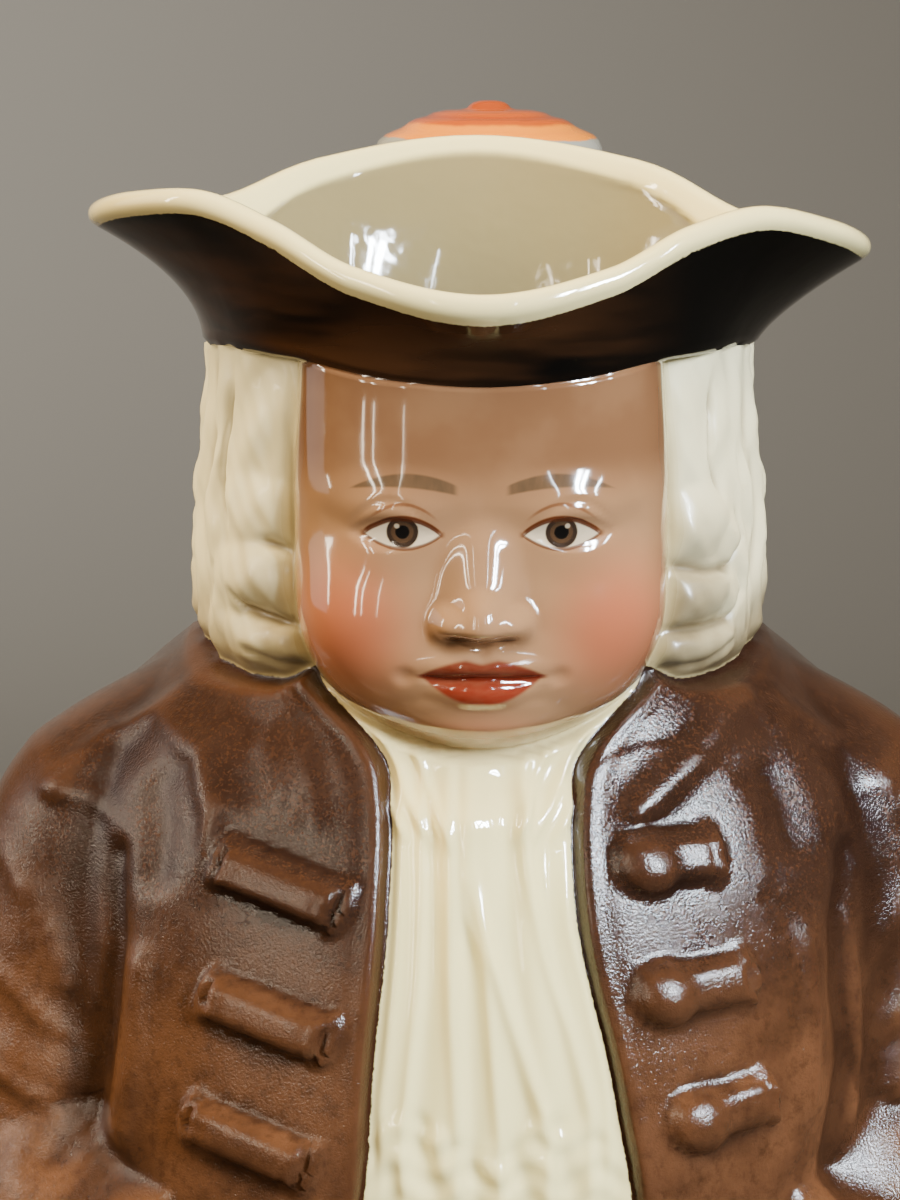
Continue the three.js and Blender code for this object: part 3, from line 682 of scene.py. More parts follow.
class Clay:
    """Gathers the vertices, faces, paint and texture places of the whole jug."""

    def __init__(self):
        self.points, self.faces, self.fans, self.corner_uvs, self.fan_uvs = [], [], [], [], []
        self.paint = {name: [] for name in PAINTS}
        self.count = 0

    def add(self, points, paint):
        shape = points.shape[:-1]
        self.points.append(points.reshape(-1, 3))
        for name in PAINTS:
            self.paint[name].append(np.broadcast_to(paint.get(name, 0.0), shape).reshape(-1))
        start = self.count
        self.count += int(np.prod(shape))
        return start

    def tube(self, points, paint, tile, outward=True):
        """A closed skin of rows with a pole at each end; tile is its place in the texture: u0, v0, u1, v1."""
        rows, columns = points.shape[:2]
        start = self.add(points, paint)
        quads = grid_faces(rows, columns, start)
        row, column = np.meshgrid(np.arange(rows - 1), np.arange(columns), indexing="ij")
        u0, v0, u1, v1 = tile

        def place(c, r):
            return np.stack([u0 + (u1 - u0) * c / columns, v0 + (v1 - v0) * (r + 1) / (rows + 1)], -1)

        steps = ((0, 0), (1, 0), (1, 1), (0, 1))
        corner = np.stack([place(column + across, row + up) for across, up in steps], -2)
        corner = corner.reshape(-1, 4, 2)
        ends = []
        for end, pole in ((0, -1), (rows - 1, rows)):
            middle = points[end].mean(0)
            ends_paint = {name: np.array([np.asarray(value)[end].mean()]) for name, value in paint.items()}
            tip = self.add(middle[None], ends_paint)
            c = np.arange(columns)
            here, there = start + end * columns + c, start + end * columns + (c + 1) % columns
            fan = np.stack([here, there, np.full(columns, tip)], -1)
            uv = np.stack([place(c, np.full(columns, end)), place(c + 1, np.full(columns, end)),
                           place(c + 0.5, np.full(columns, pole))], -2)
            if pole < 0:
                fan, uv = fan[:, ::-1], uv[:, ::-1]
            ends.append((fan, uv))
        if not outward:
            quads, corner = quads[:, ::-1], corner[:, ::-1]
            ends = [(fan[:, ::-1], uv[:, ::-1]) for fan, uv in ends]
        self.faces.append(quads)
        self.corner_uvs.append(corner)
        for fan, uv in ends:
            self.fans.append(fan)
            self.fan_uvs.append(uv)

    def build(self, name):
        points = np.concatenate(self.points) * MM
        quads, fans = np.concatenate(self.faces), np.concatenate(self.fans)
        mesh = bpy.data.meshes.new(name)
        mesh.vertices.add(len(points))
        mesh.vertices.foreach_set("co", points.ravel())
        mesh.loops.add(quads.size + fans.size)
        mesh.loops.foreach_set("vertex_index", np.concatenate([quads.ravel(), fans.ravel()]))
        mesh.polygons.add(len(quads) + len(fans))
        starts = np.concatenate([np.arange(len(quads)) * 4, quads.size + np.arange(len(fans)) * 3])
        mesh.polygons.foreach_set("loop_start", starts)
        mesh.polygons.foreach_set("use_smooth", np.ones(len(starts), bool))
        mesh.update(calc_edges=True)
        layer = mesh.uv_layers.new(name="OFBake")
        uvs = [np.concatenate(part).ravel() for part in (self.corner_uvs, self.fan_uvs)]
        layer.data.foreach_set("uv", np.concatenate(uvs))
        for paint_name in PAINTS:
            attribute = mesh.attributes.new(paint_name, "FLOAT", "POINT")
            attribute.data.foreach_set("value", np.concatenate(self.paint[paint_name]).astype(np.float32))
        mesh.validate()
        piece = bpy.data.objects.new(name, mesh)
        bpy.context.scene.collection.objects.link(piece)
        return piece


def relief_of(radius):
    """How far each place stands above the mean around it: positive on ridges, negative in hollows."""
    def blurred(values, reach_rows, reach_columns):
        total = np.zeros_like(values)
        for shift in range(-reach_columns, reach_columns + 1):
            total += np.roll(values, shift, 1)
        values = total / (2 * reach_columns + 1)
        padded = np.pad(values, ((reach_rows, reach_rows), (0, 0)), "edge")
        summed = np.cumsum(np.concatenate([np.zeros((1, values.shape[1])), padded]), 0)
        span = 2 * reach_rows + 1
        return (summed[span:] - summed[:-span]) / span

    return radius - blurred(blurred(radius, 4, 4), 3, 3)


def add_skin(clay):
    foot = ring_rows(foot_places(), COAT_FOOT)
    figure = figure_rows()
    hat = ring_rows(hat_places())
    figure[3]["relief"] = relief_of(figure[1])
    parts = [foot, figure, hat]
    points = np.concatenate([to_points(*part[:3]) for part in parts])
    paint = {name: np.concatenate([part[3][name] for part in parts]) for name in PAINTS}
    clay.tube(points, paint, (0, 0, 1, 0.9))


# ---- The handle and its thumb rest ----

HANDLE_PATH = np.array([
    (30, 156), (43, 163), (57, 166.5), (71, 160), (81, 143), (83.4, 120), (79, 96), (68, 74), (52, 59),
    (34, 51)], float)
HANDLE_HALF_WIDTH = through((0, 11), (0.25, 9.5), (0.6, 8), (0.85, 8.5), (1, 11))
HANDLE_HALF_THICKNESS = through((0, 5.4), (0.3, 5), (0.6, 4.6), (1, 6))
HANDLE_AROUND = 48
ROOT_SINK = 1.2


def handle_line(share):
    """A centripetal curve through the handle's points: place (y, z) and direction."""
    before, beyond = 2 * HANDLE_PATH[0] - HANDLE_PATH[1], 2 * HANDLE_PATH[-1] - HANDLE_PATH[-2]
    path = np.vstack([before, HANDLE_PATH, beyond])

    def place(t):
        at = min(max(t, 0), 1) * (len(HANDLE_PATH) - 1)
        i = min(int(at), len(HANDLE_PATH) - 2)
        p = path[i:i + 4]
        steps = [max(1e-4, math.dist(a, b) ** 0.5) for a, b in zip(p, p[1:])]
        m1 = (p[1] - p[0]) / steps[0] - (p[2] - p[0]) / (steps[0] + steps[1]) + (p[2] - p[1]) / steps[1]
        m2 = (p[2] - p[1]) / steps[1] - (p[3] - p[1]) / (steps[1] + steps[2]) + (p[3] - p[2]) / steps[2]
        m1, m2, s = m1 * steps[1], m2 * steps[1], at - i
        a, b = 2 * p[1] - 2 * p[2] + m1 + m2, -3 * p[1] + 3 * p[2] - 2 * m1 - m2
        return p[1] + s * (m1 + s * (b + s * a))

    point = place(share)
    ahead = place(share + 0.002) - place(share - 0.002)
    return point, ahead / np.linalg.norm(ahead)


def handle_ring(share):
    """Points round the handle: a strap with a rounded back and a shallow groove on each side of it."""
    (y, z), (ty, tz) = handle_line(share)
    turn = np.linspace(0, 2 * math.pi, HANDLE_AROUND, endpoint=False)
    wide, thick = HANDLE_HALF_WIDTH(share), HANDLE_HALF_THICKNESS(share)
    grooves = 0.1 * bump((np.cos(turn) - 0.62) / 0.3) + 0.1 * bump((np.cos(turn) + 0.62) / 0.3)
    out = np.sin(turn) * (1 - grooves)
    return np.stack([HANDLE_SIDE + wide * np.cos(turn), y + tz * thick * out, z - ty * thick * out], -1)


def back_of_torso(x, z):
    angle = 180 - np.degrees(np.arcsin(x / 46))
    radius, _ = skin(angle, z)
    return to_points(angle, radius - ROOT_SINK, z)


def back_of_hat(x, z):
    angle = 180 - np.degrees(np.arcsin(x / 42))
    share = np.clip((z - HAT_LINE) / (rim_height(angle) - HAT_LINE), 0, 0.93)
    radius, height = brim(angle, share, ROOT_SINK)
    return to_points(angle, radius, height)


def root_rings(surface, middle, half_width, half_height, share, direction, flip):
    """Rings that flow from an oval on the skin into the handle."""
    turn = np.linspace(0, 2 * math.pi, HANDLE_AROUND, endpoint=False)
    rings = []
    target = handle_ring(share)
    _, tangent = handle_line(share)
    along = np.array([0, tangent[0], tangent[1]]) * direction
    def oval(scale):
        x = HANDLE_SIDE + scale * half_width * np.cos(turn)
        return surface(x, middle + flip * scale * half_height * np.sin(turn))
    start, inner = oval(1.0), oval(0.93)
    towards = (inner - start) / np.linalg.norm(inner - start, axis=1)[:, None]
    length = np.linalg.norm(target - start, axis=1)[:, None]
    rings += [oval(scale) for scale in (0.25, 0.55, 0.8)]
    for t in np.linspace(0, 1, 14, endpoint=False):
        a, b = start + towards * length * 0.42, target + along * length * 0.42
        near, far = (1 - t) ** 3 * start, t ** 3 * target
        rings.append(near + 3 * (1 - t) ** 2 * t * a + 3 * (1 - t) * t * t * b + far)
    return rings


def add_handle(clay):
    upper = root_rings(back_of_hat, 161.2, 14.5, 8.2, 0.155, -1, 1)
    lower = root_rings(back_of_torso, 55.5, 15, 11, 0.93, 1, -1)
    middle = [handle_ring(share) for share in np.linspace(0.155, 0.93, 64)]
    points = np.array(upper + middle + lower[::-1])
    clay.tube(points, blank_paint(points.shape[:2]), (0, 0.91, 0.7, 0.99), outward=False)


# The thumb rest's outline: radius and height of its rolls and knob.
CAP_OUTLINE = [
    (0.5, -7), (5, -6.8), (9, -6), (12.2, -4.2), (14.4, -2.4), (15.9, -0.9), (16.9, 1), (17.1, 3),
    (16.9, 5), (16.4, 6.1), (15.4, 6.9), (14.3, 7.4), (13.3, 7.8), (12.6, 8.2), (11.9, 8.75), (11, 9.2),
    (10, 9.45), (9.3, 9.6), (8.3, 10.1), (6.4, 10.5), (4.4, 10.55), (3.3, 10.75), (2.9, 11.2), (2.3, 11.6),
    (1.3, 11.85), (0.4, 11.9)]
CAP_AROUND = 64


def add_cap(clay):
    turn = np.linspace(0, 2 * math.pi, CAP_AROUND, endpoint=False)
    rows = []
    for radius, height in CAP_OUTLINE:
        wavy = radius * (1 + 0.006 * np.sin(5 * turn + height))
        x, y = HANDLE_SIDE + wavy * np.cos(turn), CAP_BEHIND + 0.8 * wavy * np.sin(turn)
        rows.append(np.stack([x, y, CAP_HEIGHT + height + 0 * turn], -1))
    points = np.array(rows)
    paint = blank_paint(points.shape[:2])
    paint["band"] = 10 + points[..., 2] - CAP_HEIGHT
    clay.tube(points, paint, (0.72, 0.91, 1, 0.99))


clay = Clay()
add_skin(clay)
add_handle(clay)
add_cap(clay)
jug = clay.build("toby_jug")
print("triangles", sum(len(p.vertices) - 2 for p in jug.data.polygons))
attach(jug, "root")
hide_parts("jug")


# ---- Shader helpers ----

def srgb(red, green, blue):
    """A colour given as the eye reads it on a screen, 0 to 255."""
    def linear(v):
        v = v / 255
        return v / 12.92 if v <= 0.04045 else ((v + 0.055) / 1.055) ** 2.4
    return (linear(red), linear(green), linear(blue), 1)


class Paint:
    """A material's node tree, with sums and mixes written as calls."""

    def __init__(self, name):
        self.material = bpy.data.materials.new(name)
        self.material.use_nodes = True
        self.nodes, self.links = self.material.node_tree.nodes, self.material.node_tree.links
        self.nodes.clear()
        self.place = self.node("ShaderNodeTexCoord").outputs["Object"]

    def node(self, kind, **settings):
        made = self.nodes.new(kind)
        for key, value in settings.items():
            setattr(made, key, value)
        return made

    def put(self, socket, value):
        if isinstance(value, bpy.types.NodeSocket):
            self.links.new(value, socket)
        else:
            socket.default_value = value

    def math(self, operation, *values, clamp=False):
        made = self.node("ShaderNodeMath", operation=operation, use_clamp=clamp)
        for socket, value in zip(made.inputs, values):
            self.put(socket, value)
        return made.outputs[0]

    def add(self, *values):
        total = values[0]
        for value in values[1:]:
            total = self.math("ADD", total, value)
        return total

    def sub(self, a, b):
        return self.math("SUBTRACT", a, b)

    def mul(self, *values):
        total = values[0]
        for value in values[1:]:
            total = self.math("MULTIPLY", total, value)
        return total

    def size(self, value):
        return self.math("ABSOLUTE", value)

    def distance(self, *offsets):
        return self.math("SQRT", self.add(*[self.mul(offset, offset) for offset in offsets]))

    def ramp(self, value, start, end):
        """0 at start and 1 at end, eased; start may lie above end."""
        made = self.node("ShaderNodeMapRange", interpolation_type="SMOOTHSTEP")
        self.put(made.inputs["Value"], value)
        flip = start > end
        made.inputs["From Min"].default_value = min(start, end)
        made.inputs["From Max"].default_value = max(start, end)
        made.inputs["To Min"].default_value = 1 if flip else 0
        made.inputs["To Max"].default_value = 0 if flip else 1
        return made.outputs["Result"]

    def mix(self, share, a, b, blend="MIX"):
        made = self.node("ShaderNodeMix", data_type="RGBA", blend_type=blend, clamp_factor=True)
        self.put(made.inputs["Factor"], share)
        self.put(made.inputs["A"], a)
        self.put(made.inputs["B"], b)
        return made.outputs["Result"]

    def mix_value(self, share, a, b):
        made = self.node("ShaderNodeMix", data_type="FLOAT", clamp_factor=True)
        self.put(made.inputs["Factor"], share)
        self.put(made.inputs["A"], a)
        self.put(made.inputs["B"], b)
        return made.outputs["Result"]

    def noise(self, scale, detail=2.0, stretch=(1, 1, 1), roughness=0.5):
        """Noise from 0 to 1; scale is in cells a metre, as the object lies."""
        place = self.place
        if stretch != (1, 1, 1):
            mapping = self.node("ShaderNodeMapping")
            mapping.inputs["Scale"].default_value = stretch
            self.links.new(place, mapping.inputs["Vector"])
            place = mapping.outputs["Vector"]
        made = self.node("ShaderNodeTexNoise")
        self.links.new(place, made.inputs["Vector"])
        made.inputs["Scale"].default_value = scale
        made.inputs["Detail"].default_value = detail
        made.inputs["Roughness"].default_value = roughness
        return made.outputs["Fac"]

    def attribute(self, name):
        return self.node("ShaderNodeAttribute", attribute_name=name).outputs["Fac"]

    def millimetres(self):
        """x, y and z of the place in millimetres."""
        split = self.node("ShaderNodeSeparateXYZ")
        self.links.new(self.place, split.inputs[0])
        return [self.mul(split.outputs[i], 1 / MM) for i in range(3)]


CLEAR_WHITE = srgb(234, 218, 153)
# Painted shade: the inside of the jug, darker down in its well.
WELL_SHADE = srgb(121, 109, 77)
WIG_WHITE = srgb(214, 202, 162)
WIG_SHADE = srgb(122, 104, 74)
FLESH = srgb(141, 104, 73)
# Flesh in painted shade.
FLESH_SHADE = srgb(106, 70, 44)
BLUSH = srgb(158, 70, 42)
LIP = srgb(126, 26, 10)
LIP_DARK = srgb(84, 16, 7)
BROW_GREY = srgb(62, 50, 36)
EYE_BROWN = srgb(70, 30, 12)
IRIS = srgb(44, 32, 24)
PUPIL = srgb(12, 10, 9)
EYE_WHITE = srgb(186, 166, 138)
COAT_BROWN = srgb(44, 28, 20)
COAT_DARK = srgb(26, 14, 9)
COAT_AMBER = srgb(72, 44, 26)
HAT_BLACK = srgb(7, 6, 5)
CAP_ORANGE = srgb(150, 66, 18)
CAP_YELLOW = srgb(196, 112, 10)
CAP_RED = srgb(135, 56, 20)


def paint_face(p, x, z, colour, wobble):
    """Paints the face over the flesh: blush, lips, brows, eyes and nostrils."""
    side = p.size(x)
    u = p.add(p.sub(side, EYE_X), p.mul(wobble, 0.25))
    up = p.add(p.sub(z, EYE_LINE), p.mul(wobble, 0.25))

    def oval(cx, cz, half_x, half_z):
        return p.distance(p.mul(p.sub(side, cx), 1 / half_x), p.mul(p.sub(z, cz), 1 / half_z))

    def arch(value, half, high):
        share = p.mul(value, 1 / half)
        return p.mul(p.math("MAXIMUM", p.sub(1, p.mul(share, share)), 0), high)

    cheek = p.mul(p.ramp(oval(16, NOSE_BASE + 0.5, 11, 13), 1, 0.1), 0.62)
    colour = p.mix(cheek, colour, BLUSH)
    flush = p.mul(p.ramp(oval(0, CHIN + 3, 9, 5), 1.1, 0.2), 0.25)
    colour = p.mix(flush, colour, BLUSH)

    # Lips
    top = p.add(arch(side, 7.8, 2.5), p.mul(p.ramp(side, 2.2, 0), -0.55), MOUTH)
    bottom = p.sub(MOUTH + 0.1, arch(side, 7.2, 3.3))
    between = p.mul(p.ramp(p.sub(top, z), -0.3, 0.3), p.ramp(p.sub(z, bottom), -0.35, 0.35))
    lips = p.mul(between, p.ramp(side, 8, 7.3))
    shade = p.mix(p.ramp(z, MOUTH - 2.6, MOUTH + 0.4), LIP, LIP_DARK)
    colour = p.mix(p.mul(lips, p.mix_value(p.noise(500, 2, (1, 1, 3)), 0.72, 1.0)), colour, shade)
    seam = p.mul(p.ramp(p.size(p.sub(z, MOUTH + 0.1)), 0.42, 0.1), p.ramp(side, 8.3, 6.8))
    colour = p.mix(p.mul(seam, 0.8), colour, srgb(76, 18, 8))

    # Nostrils
    nostril = p.ramp(oval(2.7, NOSE_BASE - 0.1, 1.5, 0.5), 1.15, 0.7)
    colour = p.mix(p.mul(nostril, 0.85), colour, EYE_BROWN)

    # Brows
    brow_mid = p.add(BROW + 0.2, arch(p.sub(side, 9.2), 9, 2.3))
    brow_half = p.add(arch(p.sub(side, 7.6), 8.5, 0.85), 0.02)
    off = p.size(p.sub(z, brow_mid))
    brow_ends = p.mul(p.ramp(side, 2.6, 3.6), p.ramp(side, 16.6, 14.5))
    brow = p.mul(p.ramp(p.sub(brow_half, off), -0.12, 0.22), brow_ends)
    hairs = p.mix_value(p.noise(900, 2, (1, 1, 0.35)), 0.55, 1.0)
    colour = p.mix(p.mul(brow, hairs), colour, BROW_GREY)

    # Eyes
    upper, lower = arch(u, EYE_HALF, 2.1), p.mul(arch(u, EYE_HALF, 1.7), -1)
    from_middle = p.size(u)
    within = p.ramp(from_middle, EYE_HALF + 0.1, EYE_HALF - 0.3)
    open_eye = p.mul(p.ramp(p.sub(upper, up), -0.1, 0.12), p.ramp(p.sub(up, lower), -0.1, 0.12), within)
    colour = p.mix(open_eye, colour, EYE_WHITE)
    from_iris = p.distance(u, p.sub(up, 0.35))
    colour = p.mix(p.mul(open_eye, p.ramp(from_iris, 2.05, 1.8)), colour, IRIS)
    colour = p.mix(p.mul(open_eye, p.ramp(from_iris, 1.55, 1.2), 0.6), colour, srgb(78, 56, 38))
    colour = p.mix(p.mul(open_eye, p.ramp(from_iris, 0.95, 0.75)), colour, PUPIL)
    # A painted highlight: a white glint in each eye.
    glint = p.distance(p.sub(u, 0.7), p.sub(up, 1.1))
    colour = p.mix(p.mul(open_eye, p.ramp(glint, 0.4, 0.2), 0.7), colour, EYE_WHITE)
    along = p.ramp(from_middle, EYE_HALF + 0.6, EYE_HALF - 0.6)
    upper_line = p.mul(p.ramp(p.size(p.sub(up, upper)), 0.5, 0.22), along)
    lower_line = p.mul(p.ramp(p.size(p.sub(up, lower)), 0.3, 0.1), along)
    colour = p.mix(p.mul(upper_line, 0.95), colour, EYE_BROWN)
    colour = p.mix(p.mul(lower_line, 0.8), colour, EYE_BROWN)
    crease = p.add(arch(u, EYE_HALF + 0.7, 3.3), 0.5)
    crease_line = p.mul(p.ramp(p.size(p.sub(up, crease)), 0.32, 0.08), p.ramp(from_middle, 4.6, 2.5))
    return p.mix(p.mul(crease_line, 0.7), colour, srgb(96, 54, 30))


def glaze_material():
    p = Paint("painted_porcelain")
    x, y, z = p.millimetres()
    wobble = p.sub(p.noise(260, 3), 0.5)
    ragged = p.sub(p.noise(1400, 4, roughness=0.65), 0.5)
    relief = p.attribute("relief")
    hollow = p.ramp(relief, -0.1, -0.9)
    proud = p.ramp(relief, 0.15, 0.9)

    coat_gap = p.attribute("coat")
    coat = p.ramp(p.add(coat_gap, p.mul(ragged, 0.6)), -0.7, -0.5)
    wig_gap = p.attribute("wig")
    wig = p.ramp(wig_gap, -1.4, 1.6)
    face_gap = p.attribute("face")
    face = p.ramp(p.add(face_gap, p.mul(wobble, 0.8)), -1.3, 2.2)
    inner = p.attribute("inner")
    hat = p.ramp(p.add(p.attribute("hat"), p.mul(ragged, 0.35)), -0.05, 0.1)
    band = p.attribute("band")

    # Clear glaze over white clay, with painted shade in the well, under the chin and in hollows, and the
    # wig's slightly greener white with painted shade in its hollows and towards the face
    # Painted shade: the well below the flare is darker than the white rim and flare.
    well = p.ramp(inner, 0.4, 0.95)
    clay_tone = p.mix(well, CLEAR_WHITE, WELL_SHADE)
    # Painted shade under the chin: the white is darker at the top of the neckcloth.
    clay_tone = p.mix(p.mul(p.ramp(z, 92, 101), p.sub(1, inner), 0.5), clay_tone, srgb(206, 186, 132))
    # Painted shade in the hollows of the white glaze.
    colour = p.mix(p.mul(hollow, 0.35), clay_tone, srgb(196, 180, 132))
    # Painted shade in the wig's hollows.
    wig_tone = p.mix(p.mul(hollow, 0.8), WIG_WHITE, WIG_SHADE)
    # Mottled painted shade towards the face and lower down the wig, deepest on the +x side.
    shade_mottle = p.mix_value(p.noise(420, 3), 0.6, 1.0)
    inner_side_shade = p.mul(p.ramp(wig_gap, 13, 1), p.ramp(z, 138, 117), shade_mottle)
    wig_tone = p.mix(inner_side_shade, wig_tone, WIG_SHADE)
    wig_tone = p.mix(p.mul(inner_side_shade, p.ramp(x, 0, 12), 0.8), wig_tone, srgb(84, 68, 44))
    colour = p.mix(wig, colour, wig_tone)

    # Flesh
    # Painted shade: flesh is darker towards the face's edge and in its hollows.
    flesh = p.mix(p.mul(p.ramp(face_gap, 5, 0), 0.35), FLESH, FLESH_SHADE)
    flesh = p.mix(p.mul(hollow, 0.5), flesh, FLESH_SHADE)
    # Painted shadow of the brim: the forehead is darker up towards the hat.
    flesh = p.mix(p.mul(p.ramp(z, BROW - 3, BROW + 6), 0.75), flesh, srgb(92, 60, 38))
    flesh = p.mix(p.mul(p.ramp(p.noise(120, 3), 0.4, 0.7), 0.18), flesh, srgb(148, 112, 80))
    painted = paint_face(p, x, z, flesh, wobble)
    colour = p.mix(face, colour, painted)

    # Brown coat: thin and amber on its edges and ridges, pooled dark in its hollows
    cloud = p.noise(120, 4, roughness=0.6)
    mottle = p.noise(650, 4, roughness=0.7)
    grain = p.noise(1900, 3, roughness=0.75)
    # Painted light: the coat is lighter towards its foot.
    brown = p.mix(p.mul(p.ramp(z, 90, 64), 0.8), COAT_BROWN, srgb(90, 58, 37))
    brown = p.mix(p.mul(p.ramp(cloud, 0.4, 0.7), 0.5), brown, COAT_DARK)
    brown = p.mix(p.mul(p.ramp(mottle, 0.45, 0.7), 0.4), brown, COAT_DARK)
    brown = p.mix(p.mul(p.ramp(grain, 0.5, 0.35), 0.35), brown, COAT_AMBER)
    brown = p.mix(p.mul(proud, 0.3), brown, COAT_AMBER)
    brown = p.mix(p.mul(hollow, 0.6), brown, COAT_DARK)
    hem = p.mul(p.ramp(coat_gap, 2.2, 0.4), p.ramp(x, 6, -6))
    brown = p.mix(p.mul(hem, 0.45), brown, COAT_AMBER)
    brown = p.mix(p.mul(p.ramp(coat_gap, 0.5, -0.1), 0.6), brown, srgb(34, 16, 8))
    colour = p.mix(coat, colour, brown)

    # Hat
    # Brown streaks across the brim's middle: thin black paint, and a painted reflection.
    brown_streak_and_reflection = p.mul(p.ramp(p.noise(60, 3, (0.35, 0.35, 2.2), 0.6), 0.36, 0.62), p.ramp(x, 26, 6))
    colour = p.mix(hat, colour, p.mix(brown_streak_and_reflection, HAT_BLACK, srgb(54, 32, 17)))

    # Thumb rest
    cap = p.ramp(band, 2, 2.5)
    level = p.add(band, p.mul(x, 0.01), p.mul(wobble, 0.7))
    rows = p.mix(p.ramp(level, 16.4, 16.7), srgb(128, 126, 118), CAP_YELLOW)
    rows = p.mix(p.ramp(level, 18.3, 18.9), rows, CAP_ORANGE)
    rows = p.mix(p.mul(p.ramp(level, 19.2, 19.4), p.ramp(level, 19.9, 19.7), 0.8), rows, CAP_RED)
    rows = p.mix(p.ramp(level, 20.5, 20.9), rows, CAP_RED)
    colour = p.mix(cap, colour, rows)

    rough = p.mix_value(coat, 0.08, p.mix_value(grain, 0.08, 0.15))
    rough = p.mix_value(wig, rough, 0.32)
    rough = p.mix_value(hat, rough, 0.07)
    rough = p.mix_value(face, rough, 0.1)

    fine = p.mul(p.sub(p.noise(3200, 2, roughness=0.6), 0.5), coat)
    ripple = p.mul(p.sub(p.noise(150, 2), 0.5), p.mix_value(inner, 0.5, 2.0))
    bump_node = p.node("ShaderNodeBump")
    bump_node.inputs["Strength"].default_value = 0.5
    bump_node.inputs["Distance"].default_value = 0.00035
    p.put(bump_node.inputs["Height"], p.add(p.mul(fine, 0.45), ripple))

    shader = p.node("ShaderNodeBsdfPrincipled")
    p.put(shader.inputs["Base Color"], colour)
    p.put(shader.inputs["Roughness"], rough)
    shader.inputs["IOR"].default_value = 1.5
    shader.inputs["Coat Roughness"].default_value = 0.04
    p.put(shader.inputs["Coat Weight"], p.mul(p.sub(1, coat), p.sub(1, hat), p.sub(1, p.mul(wig, 0.85))))
    p.put(shader.inputs["Normal"], bump_node.outputs["Normal"])
    output = p.node("ShaderNodeOutputMaterial")
    p.links.new(shader.outputs[0], output.inputs["Surface"])
    return p.material


jug.data.materials.append(glaze_material())


# ---- Floor, light and camera ----

def plain_material(name, colour, roughness):
    material = bpy.data.materials.new(name)
    material.use_nodes = True
    shader = material.node_tree.nodes["Principled BSDF"]
    shader.inputs["Base Color"].default_value = colour
    shader.inputs["Roughness"].default_value = roughness
    return material


def add_floor():
    """A pale floor that sweeps up into a backdrop behind the jug."""
    half, bend, near, far, top = 2.2, 0.35, -1.4, 0.75, 1.6
    line = [(near, 0.0)]
    for turn in np.radians(np.linspace(0, 90, 25)):
        line.append((far - bend + bend * math.sin(turn), bend - bend * math.cos(turn)))
    line.append((far, top))
    vertices = [(x, y, z) for y, z in line for x in (-half, half)]
    faces = [(2 * i, 2 * i + 1, 2 * i + 3, 2 * i + 2) for i in range(len(line) - 1)]
    mesh = bpy.data.meshes.new("floor")
    mesh.from_pydata(vertices, [], faces)
    mesh.polygons.foreach_set("use_smooth", [True] * len(faces))
    mesh.materials.append(plain_material("floor_paper", srgb(176, 171, 162), 0.9))
    floor = bpy.data.objects.new("floor", mesh)
    bpy.context.scene.collection.objects.link(floor)
    return floor


AIM = Vector((0, 0, 0.12))


def only(name, *objects):
    """A set of objects that a light can be kept to."""
    group = bpy.data.collections.new(name)
    for item in objects:
        group.objects.link(item)
    return group


def add_light(name, place, size, power, colour, lit, shown=True, spread=180, aim=AIM):
    """A rectangular light on one set of objects; one that isn't shown has no mirror image in the glaze."""
    light = bpy.data.lights.new(name, "AREA")
    light.shape = "RECTANGLE"
    light.size, light.size_y = size
    light.energy = power
    light.color = colour
    light.spread = math.radians(spread)
    lamp = bpy.data.objects.new(name, light)
    lamp.location = place
    lamp.rotation_euler = (aim - Vector(place)).to_track_quat("-Z", "Y").to_euler()
    lamp.visible_glossy = shown
    lamp.light_linking.receiver_collection = lit
    bpy.context.scene.collection.objects.link(lamp)


def around(degrees, height, distance):
    """A place at an angle from straight in front, growing to the right."""
    turn = math.radians(degrees)
    return (distance * math.sin(turn), -distance * math.cos(turn), height)


COOL = (0.8, 0.9, 1.0)
WARM = (1.0, 0.86, 0.66)
DAY = (1.0, 0.9, 0.68)
LAMP = (1.0, 0.82, 0.5)


# Lights whose mirror images show in the glaze: degrees from straight in front, width and power.
WINDOWS = ((36, 0.05, 1.5), (41, 0.05, 1.5), (54, 0.02, 0.4), (18, 0.01, 0.08))
SLITS = ((-24, 0.01, 0.05), (-40, 0.015, 0.1), (-47, 0.03, 0.16), (-84, 0.03, 0.2))
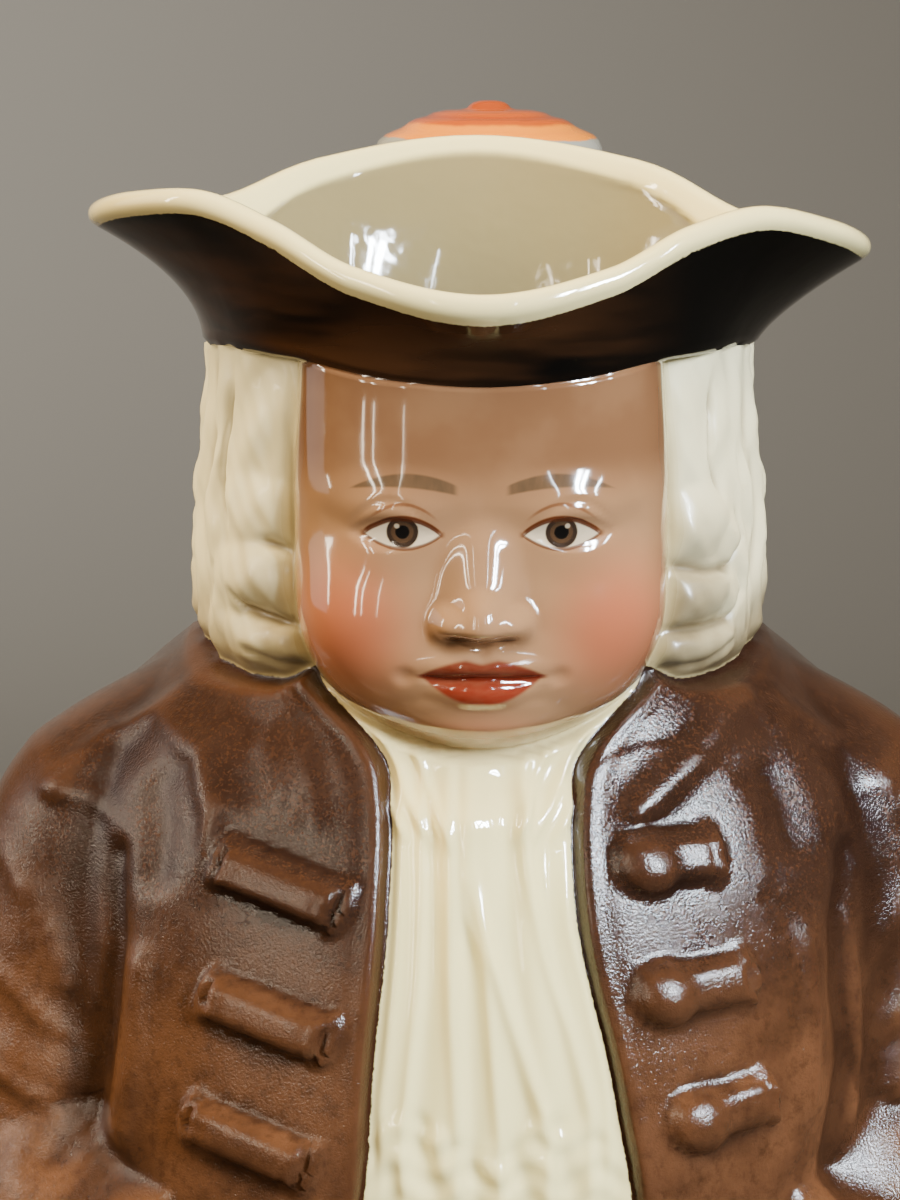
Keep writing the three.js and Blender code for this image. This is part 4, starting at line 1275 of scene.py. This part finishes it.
# Soft lights without one: name, degrees, height, distance, power and colour.
SOFT_LIGHTS = (
    ("soft_above", 5, 0.96, 0.45, 1.3, LAMP), ("soft_left", -75, 0.52, 0.86, 0.7, LAMP),
    ("side_left", -110, 0.79, 0.67, 3.6, LAMP), ("side_right", 110, 0.79, 0.67, 1.6, DAY))


def add_lights(floor):
    on_jug, on_floor = only("lit_jug", jug), only("lit_floor", floor)
    for kind, rows, height, long, colour in (
            ("window", WINDOWS, 0.62, 0.42, COOL), ("slit", SLITS, 0.4, 0.6, WARM)):
        for i, (degrees, width, power) in enumerate(rows):
            place = around(degrees, height, 1.0)
            add_light(f"{kind}_{i}", place, (width, long), power, colour, on_jug, spread=50)
    for name, degrees, height, distance, power, colour in SOFT_LIGHTS:
        place = around(degrees, height, distance)
        add_light(name, place, (0.4, 0.4), power, colour, on_jug, shown=False, spread=60)
    add_light("wall_left", around(-100, 0.35, 1.1), (0.6, 0.9), 0.4, (0.96, 0.98, 1.0), on_jug, spread=90)
    add_light(
        "paper_left", (-0.75, 0.1, 0.9), (0.5, 0.5), 2.4, (1.0, 0.98, 0.94), on_floor,
        shown=False, spread=80, aim=Vector((-0.3, 0.75, 0.3)))
    add_light(
        "paper_above", (0.2, 0.15, 1.3), (0.8, 0.5), 0.7, (1.0, 0.92, 0.8), on_floor,
        shown=False, spread=100, aim=Vector((0.1, 0.7, 0)))
    world = bpy.data.worlds.new("studio")
    world.use_nodes = True
    background = world.node_tree.nodes["Background"]
    background.inputs["Color"].default_value = srgb(132, 120, 108)
    background.inputs["Strength"].default_value = 0.1
    bpy.context.scene.world = world


def add_camera():
    data = bpy.data.cameras.new("camera")
    data.sensor_width = 36
    data.lens = 92.5
    data.clip_start = 0.01
    camera = bpy.data.objects.new("camera", data)
    camera.location = (-0.0038, -0.400, 0.198)
    camera.rotation_euler = (math.radians(78.3), 0, 0)
    bpy.context.scene.collection.objects.link(camera)
    bpy.context.scene.camera = camera


add_lights(add_floor())
add_camera()
